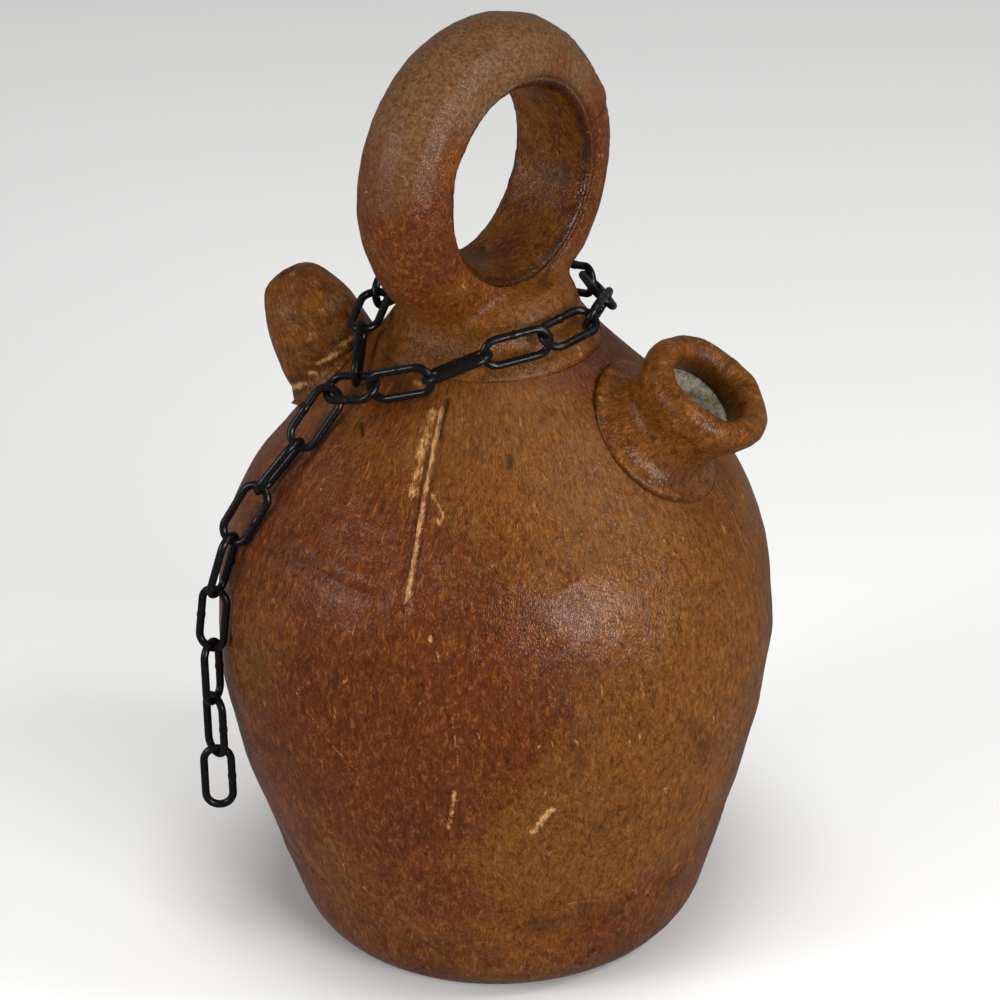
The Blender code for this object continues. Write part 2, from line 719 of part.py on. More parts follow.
def hanging_point(junction, drop):
    """Where the tail's first bow meets the junction link's free bow, below its tip, let out by a drop."""
    turn = math.radians(HANG_ROUND_BOW)
    outward = junction.along * math.cos(turn) - upper_side(junction) * math.sin(turn)
    reach = (LINK_LENGTH - WIRE) / 2 - BOW_RADIUS
    return junction.middle + junction.along * reach + outward * (BOW_RADIUS + drop)


def lay_junction(pitch):
    """The link that the noose starts from and closes on, with its middle half a pitch along its line."""
    angle, rise = NOOSE_ROUTE[0]
    start, normal = over_leather(angle, NECK_ROOT_HEIGHT + rise, NOOSE_LIFT)
    angle, rise = JUNCTION_END
    end, _ = over_leather(angle, NECK_ROOT_HEIGHT + rise, NOOSE_LIFT)
    onward = unit(end - start)
    return Link(start, start + onward * pitch, rolled(normal, onward, JUNCTION_ROLL))


def lay_chain():
    """The junction link, the noose that starts at it and closes round its side wire, and the tail.

    The noose lies as low behind as brings its last link to the closing point.
    """
    noose_rolls = [LINK_ROLL * (-1) ** k for k in range(NOOSE_LINKS)]
    noose_rolls[:len(NOOSE_START_ROLLS)] = NOOSE_START_ROLLS
    tail_rolls = [-LINK_ROLL * (-1) ** k for k in range(TAIL_LINKS)]
    tail_rolls[-len(TAIL_END_ROLLS):] = TAIL_END_ROLLS
    junction_pitch = FREE_PITCH
    slack = drop = 0.0
    noose_pitches = np.full(NOOSE_LINKS, FREE_PITCH)
    tail_pitches = np.full(TAIL_LINKS, FREE_PITCH)
    for _ in range(SEATING_ROUNDS):
        junction = lay_junction(junction_pitch)
        end = closing_point(junction)
        noose = place_links(noose_guide(slack, end), noose_pitches, noose_rolls)
        tail = place_links(tail_guide(hanging_point(junction, drop)), tail_pitches, tail_rolls)
        last = noose[-1]
        beyond = np.dot(last.middle + last.along * noose_pitches[-1] / 2 - end, last.along)
        slack += SEATING_STEP * beyond
        drop -= SEATING_STEP * shortfall(junction, tail[0])
        junction_pitch -= SEATING_STEP * shortfall(junction, noose[0])
        close_pitches(noose_pitches, noose)
        close_pitches(tail_pitches, tail)
    return junction, noose, tail


def steel_chain(look):
    """Every link of the chain, each one closed piece of wire."""
    junction, noose, tail = lay_chain()
    named = [("junction_link", junction)]
    named += [(f"noose_link_{k:02d}", link) for k, link in enumerate(noose, 1)]
    named += [(f"tail_link_{k:02d}", link) for k, link in enumerate(tail, 1)]
    for name, link in named:
        made = lofted(name, link_rings(), look, closed=True)
        made.matrix_world = link.matrix()


def main():
    clear_scene()
    clay = material("fired_clay", (0.55, 0.50, 0.43), 0.85)
    hide = material("brown_leather", (0.23, 0.09, 0.035), 0.45)
    worn = material("ochre_leather", (0.36, 0.17, 0.06), 0.5)
    steel = material("black_steel", (0.015, 0.015, 0.016), 0.35, 0.6)
    clay_vessel(clay)
    base_cup(hide)
    handle_cover(hide)
    bore_liner(worn)
    spout_sleeve(
        "filling_spout_sleeve",
        FILLING,
        filling_outline,
        filling_bore(0.0),
        FILLING_FLANGE_RADIUS,
        FILLING_LENGTH + FILLING_RIM_RADIUS,
        worn,
    )
    spout_sleeve(
        "drinking_spout_sleeve",
        DRINKING,
        drinking_outline,
        drinking_bore(),
        DRINKING_FLANGE_RADIUS,
        1.5 * DRINKING_LENGTH,
        worn,
    )
    filling_flange = FILLING_FLANGE_RADIUS + FIT
    filling_room = FILLING.collar("filling_room", filling_flange, COLLAR_DEPTH, FILLING_LENGTH)
    drinking_flange = DRINKING_FLANGE_RADIUS + FIT
    drinking_room = DRINKING.collar("drinking_room", drinking_flange, COLLAR_DEPTH, DRINKING_LENGTH)
    panels = (
        ("front_left_panel", -180.0, FRONT_SEAM_ANGLE, drinking_room),
        ("front_right_panel", FRONT_SEAM_ANGLE, 0.0, filling_room),
        ("rear_right_panel", 0.0, REAR_SEAM_ANGLE, filling_room),
        ("rear_left_panel", REAR_SEAM_ANGLE, 180.0, drinking_room),
    )
    for name, start, end, room in panels:
        combine(wall_panel(name, start, end, hide), room, "DIFFERENCE")
    steel_chain(steel)


main()
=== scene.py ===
"""Looks of the leather-covered clay water jug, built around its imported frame.

Metres, +Z up, in the frame's own axes. The leather skins are fine meshes laid on the frame's own faces,
creased and worn. Every link of the chain is rebuilt of round wire in its node's own place.
"""

import json
import math

import bpy
import numpy as np
from mathutils import Matrix, Vector

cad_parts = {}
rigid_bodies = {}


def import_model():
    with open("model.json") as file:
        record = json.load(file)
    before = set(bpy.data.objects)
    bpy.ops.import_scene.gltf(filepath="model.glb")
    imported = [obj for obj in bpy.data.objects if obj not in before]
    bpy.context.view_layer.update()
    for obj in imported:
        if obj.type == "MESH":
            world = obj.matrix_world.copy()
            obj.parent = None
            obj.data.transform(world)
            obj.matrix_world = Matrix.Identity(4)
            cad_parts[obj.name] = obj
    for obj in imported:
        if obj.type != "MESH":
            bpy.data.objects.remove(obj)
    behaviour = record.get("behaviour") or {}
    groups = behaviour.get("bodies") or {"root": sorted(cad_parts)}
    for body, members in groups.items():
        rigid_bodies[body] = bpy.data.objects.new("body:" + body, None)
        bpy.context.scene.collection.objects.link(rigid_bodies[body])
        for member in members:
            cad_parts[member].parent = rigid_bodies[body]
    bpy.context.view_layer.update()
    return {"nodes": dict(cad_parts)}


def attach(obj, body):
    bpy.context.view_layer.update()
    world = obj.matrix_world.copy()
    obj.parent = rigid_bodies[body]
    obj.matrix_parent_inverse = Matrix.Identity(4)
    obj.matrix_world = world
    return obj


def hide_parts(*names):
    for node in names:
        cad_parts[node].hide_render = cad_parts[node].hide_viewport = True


for item in list(bpy.data.objects):
    bpy.data.objects.remove(item, do_unlink=True)

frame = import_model()

# The photograph's view
AIM_HEIGHT = 0.150
CAMERA_DISTANCE = 1.30
CAMERA_AZIMUTH = 24.0
CAMERA_ELEVATION = 27.0
CAMERA_ROLL = -1.2
CAMERA_LENS = 141.8
CAMERA_SIDE = 0.0023
CAMERA_LIFT = 0.0013

# Seams of the body's leather: height, degrees about Z
FRONT_SEAM = ((0.040, -83.5), (0.145, -84.2), (0.157, -85.1), (0.180, -85.6), (0.212, -86.8))
RIGHT_SEAM = ((0.040, 1.5), (0.115, 3.1), (0.143, 3.3), (0.170, 6.4), (0.212, 7.5))
REAR_SEAM = ((0.040, 89.0), (0.100, 90.5), (0.150, 89.5), (0.212, 90.0))
LEFT_SEAM = ((0.040, 179.0), (0.120, 180.5), (0.212, 179.5))

# Upper edge of the base cup: degrees about Z, height
CUP_EDGE = (
    (-181, 0.0400), (-125, 0.0375), (-100, 0.0320), (-82, 0.0290), (-66, 0.0335), (-57, 0.0395),
    (-49, 0.0420), (-36, 0.0390), (-23, 0.0360), (-10, 0.0395), (2, 0.0435), (40, 0.0410), (90, 0.0390),
    (140, 0.0415), (181, 0.0400),
)
CUP_LAP = 0.0030
SKIRT_EDGE = 0.2107
SKIRT_LAP = 0.0015

# The body's own sizes, and the depths and widths of its grooves and steps
BELLY_HEIGHT = 0.115
BELLY_RADIUS = 0.092
HEEL_RADIUS = 0.078
CUP_HEIGHT = 0.040
SEAM_DEPTH = 0.00025
SEAM_WIDTH = 0.0006
CUP_STEP = 0.00050
CUP_GROOVE = 0.00042
SKIRT_STEP = 0.00015

# Spouts: side, height of the base, tilt of the line and of the mouth, length
FILLING = (1, 0.1880, 45.5, 36.0, 0.0223)
DRINKING = (-1, 0.1920, 29.5, 29.5, 0.0323)
FILLING_FLANGE = 0.0252
DRINKING_FLANGE = 0.0180
FILLING_CLEAR = 0.0185
DRINKING_CLEAR = 0.0135
CLEAR_ABOVE = 0.150

# Leather of the spouts: its rounded edge, how far it lies off the body, and the spacing of its points
EDGE_INSETS = (0.0, 0.0002, 0.0006, 0.0011)
EDGE_RISE = 0.00042
EDGE_SINK = 0.0003
FLANGE_LIFT = 0.00015
FLANGE_START = 0.0017
FLANGE_SPACING = 0.0006
TUBE_SPACING = 0.0004
SLEEVE_COLUMNS = 240
WELT_RISE = 0.0005
NO_WELT = 1.0

# Ring handle
RING_HEIGHT = 0.2680
RING_TURN = -18.0
RING_SEGMENTS = 28
BODY_SEGMENTS = 36
RING_MIDDLE = 0.0372
RING_HALF_THICK = 0.0145
RING_HALF_WIDTH = 0.0162
RING_CENTRE = np.array([0.0, 0.0, RING_HEIGHT])
BORE_GROOVE = 0.0345

# The neck under the ring: height, radius
NECK = (
    (0.2105, 0.0377), (0.2150, 0.0340), (0.2200, 0.0303), (0.2260, 0.0288), (0.2330, 0.0235),
    (0.2360, 0.0170),
)

# Spacing of the fine meshes
FINE = 0.00065
COARSE = 0.0012
CUP_SPACING = 0.0009
RING_VOXEL = 0.00075
LINER_VOXEL = 0.0006
CELL = 4
THICKNESS = 0.0013


def vectors_of(items, name):
    vectors = np.empty(len(items) * 3, np.float32)
    items.foreach_get(name, vectors)
    return vectors.reshape(-1, 3).astype(float)


def points_of(mesh):
    return vectors_of(mesh.vertices, "co")


def set_points(mesh, points):
    mesh.vertices.foreach_set("co", points.astype(np.float32).ravel())
    mesh.update()


def normals_of(mesh):
    return vectors_of(mesh.vertex_normals, "vector")


def units(vectors):
    return vectors / np.linalg.norm(vectors, axis=-1)[..., None]


def curve_through(xs, ys, at):
    """A smooth curve through the points."""
    slopes = np.gradient(ys, xs)
    k = np.clip(np.searchsorted(xs, at) - 1, 0, len(xs) - 2)
    step = xs[k + 1] - xs[k]
    t = (at - xs[k]) / step
    start = ys[k] * (1 + 2 * t) * (1 - t) ** 2 + slopes[k] * step * t * (1 - t) ** 2
    return start + ys[k + 1] * t**2 * (3 - 2 * t) - slopes[k + 1] * step * t**2 * (1 - t)


def smooth_step(values, low, high):
    t = np.clip((values - low) / (high - low), 0, 1)
    return t * t * (3 - 2 * t)


def hill(distance, width):
    return np.exp(-((distance / width) ** 2))


def ripple(points, wavelength, seed, waves=24):
    """A smooth random height, mostly between -1 and 1, that varies over about the wavelength."""
    random = np.random.default_rng(seed)
    directions = units(random.normal(size=(waves, 3)))
    rates = 2 * math.pi / wavelength * random.uniform(0.6, 1.5, waves)
    phases = random.uniform(0, 2 * math.pi, waves)
    total = np.zeros(len(points))
    for direction, rate, phase in zip(directions, rates, phases):
        total += np.sin(points @ (direction * rate) + phase)
    return total / math.sqrt(waves)


def face_rows():
    """The leather's outline as (radius, height) from under the foot up, from the frame's outer faces."""
    spans = {
        "base_cup": (0.0, 0.0385),
        "front_left_panel": (0.0400, 0.2110),
        "front_right_panel": (0.0400, 0.2110),
        "handle_cover": (0.2100, 0.2165),
    }
    found = {}
    for node, (low, high) in spans.items():
        mesh = frame["nodes"][node].data
        outer = set()
        for polygon in mesh.polygons:
            middle, normal = polygon.center, polygon.normal
            if middle.x * normal.x + middle.y * normal.y > 0.02 * math.hypot(middle.x, middle.y):
                outer.update(polygon.vertices)
        for x, y, z in points_of(mesh)[sorted(outer)]:
            if low - 1e-4 < z < high:
                found.setdefault(round(z, 5), []).append(math.hypot(x, y))
    rows = sorted((height, max(radii)) for height, radii in found.items() if len(radii) >= 30)
    return np.array([(0.0, 0.0)] + [(radius, max(height, 0.0)) for height, radius in rows])


ROWS = face_rows()
FACE_S = np.concatenate([[0.0], np.cumsum(np.linalg.norm(np.diff(ROWS, axis=0), axis=1))])
FOOT_S = FACE_S[1]


def radius_and_height(s):
    """The outline at a distance along it from the axis under the foot."""
    beyond = np.maximum(s, FOOT_S)
    radius = np.where(s < FOOT_S, s, curve_through(FACE_S[1:], ROWS[1:, 0], beyond))
    height = np.where(s < FOOT_S, 0.0, curve_through(FACE_S[1:], ROWS[1:, 1], beyond))
    return radius, height


def length_at(height):
    """Distance along the outline to a height."""
    return np.interp(height, ROWS[1:, 1], FACE_S[1:])


def face(angle, s):
    """Points on the leather's face and its normals, at degrees about Z and a length up the outline."""
    turn = np.radians(angle)
    radius, height = radius_and_height(s)
    ahead = radius_and_height(s + 1e-5)
    behind = radius_and_height(s - 1e-5)
    slope = units(np.stack([ahead[0] - behind[0], ahead[1] - behind[1]], axis=-1))
    points = np.stack([radius * np.cos(turn), radius * np.sin(turn), height], axis=-1)
    normals = np.stack([slope[..., 1] * np.cos(turn), slope[..., 1] * np.sin(turn), -slope[..., 0]], axis=-1)
    return points, normals


def on_face(angle, height):
    return face(np.array([float(angle)]), np.array([float(length_at(height))]))[0][0]


def line_on_face(corners):
    """Points every few millimetres along a line given as (degrees about Z, height)."""
    corners = np.array(corners)
    at = np.linspace(0, len(corners) - 1, 6 * (len(corners) - 1) + 1)
    angles = np.interp(at, range(len(corners)), corners[:, 0])
    heights = np.interp(at, range(len(corners)), corners[:, 1])
    return [on_face(angle, height) for angle, height in zip(angles, heights)]


def from_line(points, line):
    """Each point's distance from a line, and how far along the line it is, from 0 to 1."""
    away = np.full(len(points), 1.0)
    share = np.zeros(len(points))
    for k, (start, end) in enumerate(zip(line, line[1:])):
        run = end - start
        t = np.clip((points - start) @ run / (run @ run), 0, 1)
        distance = np.linalg.norm(points - start - t[:, None] * run, axis=1)
        nearer = distance < away
        away[nearer] = distance[nearer]
        share[nearer] = (k + t[nearer]) / (len(line) - 1)
    return away, share


# Marks on the body: line as (degrees about Z, height), half width, rise, wear, darkness. A rise below 0 is
# a groove. The darkness is a stain on some marks, and painted shade in the grooves by the seams and in the
# left fold.
MARKS = (
    (((-86.8, 0.2085), (-86.6, 0.2018), (-86.5, 0.1958), (-86.1, 0.1887), (-85.6, 0.1801), (-85.3, 0.1714),
      (-85.2, 0.1636), (-85.1, 0.1568), (-84.6, 0.1480)), 0.0010, 0.0010, 1.0, 0.0),
    # Painted shadow lines in the grooves on both sides of the front seam's ridge
    (((-85.6, 0.2080), (-85.4, 0.2040), (-85.5, 0.2000), (-85.2, 0.1960)), 0.0008, -0.0008, 0.0, 1.0),
    (((-84.9, 0.1960), (-84.7, 0.1850), (-84.3, 0.1700), (-84.2, 0.1560)), 0.0007, -0.0004, 0.0, 0.35),
    (((-88.0, 0.1960), (-87.5, 0.1850), (-87.0, 0.1700), (-86.8, 0.1560)), 0.0009, -0.0003, 0.0, 0.45),
    (((-90.1, 0.2060), (-90.6, 0.1990), (-90.8, 0.1930), (-89.9, 0.1869), (-89.1, 0.1800)),
     0.0028, 0.0002, 0.75, 0.0),
    (((-85.1, 0.1851), (-82.2, 0.1829), (-79.5, 0.1795), (-80.0, 0.1772), (-82.0, 0.1793)),
     0.0007, 0.0003, 0.8, 0.0),
    # Painted shade in the crease of the fold on the left
    (((-130.0, 0.1575), (-115.2, 0.1580), (-105.4, 0.1576), (-95.6, 0.1562), (-86.5, 0.1560)),
     0.0018, -0.0004, 0.0, 0.3),
    (((-124.0, 0.1620), (-109.0, 0.1622), (-99.8, 0.1606), (-90.0, 0.1590)), 0.0028, 0.0005, 0.12, 0.0),
    (((-92.0, 0.1570), (-85.2, 0.1550)), 0.0005, 0.0002, 0.55, 0.0),
    (((-119.7, 0.1963), (-117.0, 0.1945), (-114.8, 0.1930)), 0.0007, -0.0005, 0.0, 0.9),
    # Painted shade in the groove of the right seam
    (((6.6, 0.1760), (6.4, 0.1703), (5.9, 0.1633), (4.9, 0.1552), (3.4, 0.1436), (3.3, 0.1314), (3.1, 0.1149),
      (2.2, 0.0800)), 0.0010, -0.0004, 0.0, 0.25),
    (((4.6, 0.1722), (4.9, 0.1651), (4.2, 0.1573), (3.0, 0.1481), (1.5, 0.1342)), 0.0008, 0.0003, 0.45, 0.0),
    (((-34.5, 0.1830), (-30.0, 0.1795), (-24.0, 0.1770), (-18.0, 0.1765)), 0.0009, 0.0004, 0.35, 0.0),
    (((-110.5, 0.1190), (-108.0, 0.1163), (-103.6, 0.1087), (-98.4, 0.1001), (-93.1, 0.0931),
      (-89.7, 0.0871)), 0.0005, -0.0002, 0.75, 0.0),
    (((-110.2, 0.1180), (-106.0, 0.1240), (-103.1, 0.1262)), 0.0012, 0.0, 0.52, 0.0),
    (((-59.9, 0.0755), (-56.7, 0.0826), (-54.2, 0.0868)), 0.0018, 0.0, 0.9, 0.0),
    (((-74.6, 0.0960), (-75.5, 0.0868), (-76.9, 0.0765)), 0.0012, 0.0, 0.8, 0.0),
    (((-75.0, 0.1235), (-74.3, 0.1138), (-73.6, 0.1012)), 0.0005, 0.0001, 0.62, 0.0),
    (((-36.6, 0.1310), (-35.8, 0.1250), (-35.4, 0.1200)), 0.0007, 0.0, 0.65, 0.0),
    (((-97.9, 0.1480), (-97.9, 0.1450), (-96.3, 0.1440), (-95.9, 0.1475)), 0.0006, 0.0001, 0.8, 0.0),
    (((-60.3, 0.1945), (-60.1, 0.1900)), 0.0014, 0.0, 0.0, 0.85),
    (((-125.2, 0.0494), (-121.3, 0.0370), (-117.8, 0.0238), (-113.7, 0.0175)), 0.0007, -0.0003, 0.35, 0.2),
    (((-139.6, 0.1299), (-134.0, 0.1150), (-129.0, 0.1015)), 0.0010, -0.0005, 0.1, 0.5),
    (((-47.0, 0.1650), (-46.4, 0.1610), (-52.0, 0.1590)), 0.0007, 0.0003, 0.0, 0.0),
    (((-41.8, 0.0180), (-41.0, 0.0150)), 0.0016, -0.0003, 0.0, 0.8),
    (((-46.0, 0.0120), (-43.0, 0.0100)), 0.0010, -0.0002, 0.0, 0.8),
)

# Short flat flecks on the body: degrees about Z and height of both ends, half width, wear
FLECKS = (
    (-106.1, 0.2095, -100.0, 0.2090, 0.0014, 0.7), (-54.4, 0.0880, -52.4, 0.0912, 0.0007, 0.60),
    (-39.2, 0.1080, -39.0, 0.1040, 0.0006, 0.7), (-37.0, 0.1098, -36.8, 0.1062, 0.0006, 0.7),
    (-32.0, 0.0935, -31.8, 0.0900, 0.0006, 0.65), (-40.2, 0.0792, -40.0, 0.0760, 0.0007, 0.65),
    (-29.4, 0.0838, -29.0, 0.0800, 0.0007, 0.65), (-77.4, 0.0705, -75.4, 0.0665, 0.0006, 0.60),
    (-79.9, 0.1478, -79.3, 0.1448, 0.0008, 0.90), (-78.6, 0.1432, -77.4, 0.1405, 0.0009, 0.90),
    (-72.8, 0.1432, -72.0, 0.1412, 0.0009, 0.7), (-101.5, 0.1530, -100.5, 0.1515, 0.0012, 0.75),
    (-81.4, 0.1262, -80.9, 0.1238, 0.0006, 0.65), (-69.9, 0.1168, -69.3, 0.1135, 0.0006, 0.65),
    (-87.8, 0.1196, -87.0, 0.1172, 0.0006, 0.60), (-64.8, 0.1335, -63.9, 0.1308, 0.0006, 0.60),
    (-112.0, 0.1565, -109.5, 0.1450, 0.0006, 0.55), (-32.8, 0.0402, -30.2, 0.0376, 0.0010, 0.75),
    (-48.0, 0.0257, -45.8, 0.0251, 0.0007, 0.65), (-77.2, 0.0270, -74.0, 0.0256, 0.0006, 0.70),
)

# Soft patches on the body: degrees about Z, height, reach, share of ochre added
PATCHES = (
    (-63, 0.200, 0.030, 0.75), (-50, 0.178, 0.034, 0.75), (-20, 0.160, 0.036, 0.80),
    (-4, 0.125, 0.038, 0.75), (-18, 0.088, 0.036, 0.75), (-45, 0.094, 0.034, 0.65),
    (-58, 0.062, 0.026, 0.55), (-33, 0.062, 0.026, 0.45), (-112, 0.143, 0.022, 0.45),
    (-128, 0.120, 0.020, 0.35), (-84, 0.140, 0.040, -0.65), (-72, 0.122, 0.030, -0.55),
    (-98, 0.100, 0.036, -0.35), (-100, 0.176, 0.022, -0.35), (-115, 0.190, 0.020, 0.30),
    (-90, 0.060, 0.030, -0.20), (-62, 0.060, 0.020, 0.35), (-71, 0.017, 0.024, 0.45),
    (-53, 0.011, 0.022, 0.40), (-108, 0.056, 0.020, 0.35), (-112, 0.028, 0.022, 0.45),
    (-94, 0.116, 0.014, 0.30), (-118, 0.139, 0.016, 0.35), (-64, 0.112, 0.012, -0.45),
    (30, 0.150, 0.045, 0.45), (120, 0.100, 0.050, 0.40), (170, 0.160, 0.040, 0.45),
    (70, 0.060, 0.040, -0.25),
)


def add_layers(mesh, ochre, wear, dark, grey, grain):
    """Named values at each vertex that the leather's finish reads."""
    for name, values in (("ochre", ochre), ("wear", wear), ("dark", dark), ("grey", grey)):
        layer = mesh.attributes.new(name, "FLOAT", "POINT")
        layer.data.foreach_set("value", np.clip(values, 0, 1).astype(np.float32))
    layer = mesh.attributes.new("grain", "FLOAT_VECTOR", "POINT")
    layer.data.foreach_set("vector", grain.astype(np.float32).ravel())


def grid_mesh(name, points):
    """A mesh through a grid of points, rows by columns, closed round both ways."""
    rows, columns = points.shape[:2]
    row, column = np.meshgrid(np.arange(rows), np.arange(columns), indexing="ij")
    next_row = (row + 1) % rows
    next_column = (column + 1) % columns
    corners = (
        row * columns + column,
        row * columns + next_column,
        next_row * columns + next_column,
        next_row * columns + column,
    )
    mesh = bpy.data.meshes.new(name)
    mesh.from_pydata(points.reshape(-1, 3), [], np.stack(corners, axis=-1).reshape(-1, 4).tolist())
    return mesh


def sheet(node, points, normals, layers, kept=None, round_columns=False):
    """A node's skin as a closed sheet of leather: fine points outside, one in four inside, and rims between.
    kept marks the blocks of fine faces to make."""
    rows, columns = points.shape[:2]
    high = (rows - 1) // CELL
    wide = columns // CELL if round_columns else (columns - 1) // CELL
    if kept is None:
        kept = np.ones((high, wide), bool)
    within = points[::CELL, ::CELL] - THICKNESS * normals[::CELL, ::CELL]
    across = within.shape[1]

    def outer(row, column):
        return row * columns + column % columns

    def inner(row, column):
        return rows * columns + row * across + column % across

    row, column = np.meshgrid(np.arange(high * CELL), np.arange(wide * CELL), indexing="ij")
    corners = ((row, column), (row, column + 1), (row + 1, column + 1), (row + 1, column))
    fine = np.stack([outer(*corner) for corner in corners], -1)
    fine = fine[np.repeat(np.repeat(kept, CELL, 0), CELL, 1)]
    row, column = np.nonzero(kept)
    corners = ((row, column), (row + 1, column), (row + 1, column + 1), (row, column + 1))
    coarse = np.stack([inner(*corner) for corner in corners], -1)
    faces = fine.tolist() + coarse.tolist()
    blank = np.pad(kept, ((1, 1), (0, 0))) if round_columns else np.pad(kept, 1)
    if round_columns:
        blank = np.concatenate([blank[:, -1:], blank, blank[:, :1]], axis=1)
    # A block's four sides as rows and columns: the neighbour, then the first and last corner of the edge
    sides = (
        ((-1, 0), (0, 1), (0, 0)),
        ((1, 0), (1, 0), (1, 1)),
        ((0, 1), (1, 1), (0, 1)),
        ((0, -1), (0, 0), (1, 0)),
    )
    for row, column in zip(row.tolist(), column.tolist()):
        for (up, over), (a, b), (c, d) in sides:
            if blank[row + 1 + up, column + 1 + over]:
                continue
            low, left = (row + a) * CELL, (column + b) * CELL
            edge = [outer(low + (c - a) * k, left + (d - b) * k) for k in range(CELL + 1)]
            faces.append(edge + [inner(row + c, column + d), inner(row + a, column + b)])
    source = np.arange(rows * columns)
    source = np.concatenate([source, source.reshape(rows, columns)[::CELL, ::CELL].ravel()])
    everything = np.concatenate([points.reshape(-1, 3), within.reshape(-1, 3)])
    used = np.zeros(len(everything), bool)
    used[[corner for item in faces for corner in item]] = True
    number = np.cumsum(used) - 1
    mesh = bpy.data.meshes.new(node + "_skin")
    mesh.from_pydata(everything[used], [], [[number[corner] for corner in item] for item in faces])
    source = source[used]
    add_layers(mesh, *[values[source] for values in layers])
    dress(placed(node + "_skin", mesh), node, "jug", LEATHER)


def in_cells(count):
    """The next number of points that makes whole blocks."""
    return int(math.ceil((count - 1) / CELL)) * CELL + 1


def grid_normals(grid):
    """Normals of a grid of points closed round its columns, outwards where rows run up and columns right."""
    upward = np.gradient(grid, axis=0)
    around = np.roll(grid, -1, axis=1) - np.roll(grid, 1, axis=1)
    return units(np.cross(around, upward))


def placed(name, mesh):
    piece = bpy.data.objects.new(name, mesh)
    bpy.context.scene.collection.objects.link(piece)
    return piece


def dress(piece, node, body, material):
    """Gives a new piece its finish and puts it on its body in place of its node."""
    piece.data.materials.clear()
    piece.data.materials.append(material)
    piece.data.polygons.foreach_set("use_smooth", [True] * len(piece.data.polygons))
    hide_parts(node)
    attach(piece, body)


def spout_line(spout):
    """Foot and direction of a spout's line."""
    side, height, tilt, _, _ = spout
    turn = math.radians(tilt)
    return on_face(0 if side > 0 else 180, height), np.array([side * math.sin(turn), 0, math.cos(turn)])


def from_axis(points, spout):
    """Distance of points from a spout's line, for those on its side of the jug."""
    foot, line = spout_line(spout)
    across = points - foot
    away = np.linalg.norm(across - (across @ line)[:, None] * line, axis=1)
    return np.where(across @ line > -0.03, away, 1.0)


def body_waves(points):
    """Unevenness of the pot under the leather."""
    broad = 0.00045 * ripple(points, 0.075, 1)
    return broad + 0.00020 * ripple(points, 0.026, 2) + 0.00006 * ripple(points, 0.009, 3)


def body_relief(points):
    """Rise of the body's leather, and its wear and darkness."""
    rise = body_waves(points)
    wear = np.zeros(len(points))
    dark = np.zeros(len(points))
    breaks = 0.5 + 0.5 * ripple(points, 0.004, 4)
    flecks = [(((a, b), (c, d)), width, 0.0, worn, 0.0) for a, b, c, d, width, worn in FLECKS]
    for corners, width, lift, worn, stain_and_shade in (*MARKS, *flecks):
        line = line_on_face(corners)
        low = np.min(line, axis=0) - 0.006
        high = np.max(line, axis=0) + 0.006
        near = np.flatnonzero(((points > low) & (points < high)).all(axis=1))
        if not len(near):
            continue
        away, share = from_line(points[near], line)
        ends = smooth_step(share, 0.0, 0.10) * (1 - smooth_step(share, 0.85, 1.0))
        strength = hill(away, width) * ends
        rise[near] += lift * strength
        wear[near] = np.maximum(wear[near], worn * strength * (0.75 + 0.25 * breaks[near]))
        dark[near] = np.maximum(dark[near], stain_and_shade * strength)
    for spout, flange in ((FILLING, FILLING_FLANGE), (DRINKING, DRINKING_FLANGE)):
        away = from_axis(points, spout)
        rise -= 0.0012 * (1 - smooth_step(away, flange - 0.0016, flange - 0.0006))
        # Painted shade round the edge of each spout's sleeve, where it meets the body
        dark = np.maximum(dark, 0.30 * hill(away - flange, 0.0010))
    return rise, wear, dark


def body_ochre(points):
    """Share of ochre over the body: soft patches, duller towards the foot."""
    share = 0.22 + 0.16 * ripple(points, 0.060, 5) + 0.10 * ripple(points, 0.018, 6)
    for angle, height, reach, added in PATCHES:
        share += added * hill(np.linalg.norm(points - on_face(angle, height), axis=1), reach)
    return share * (0.80 + 0.20 * smooth_step(points[:, 2], 0.010, 0.050))


def grain_on_body(angle, s):
    """Place in the grain: the hide's pebbles stand upright, longer than they are wide."""
    flat = np.stack([np.radians(angle) * 0.085, s * 0.42, 0 * s], axis=-1)
    return flat.reshape(-1, 3)


def cup_edge(angle):
    angles, heights = zip(*CUP_EDGE)
    return np.interp(angle, angles, heights)


def cup_edge_strength(angle):
    """How strongly the painted shade along the cup's edge shows: faint where the edge is worn flat on the
    front left.
    """
    return 0.20 + 0.80 * smooth_step(angle, -80.0, -55.0)


def seam(line, shift=0.0):
    """A function from height to degrees along an upright seam."""
    heights, angles = zip(*line)
    return lambda height: np.interp(height, heights, angles) + shift


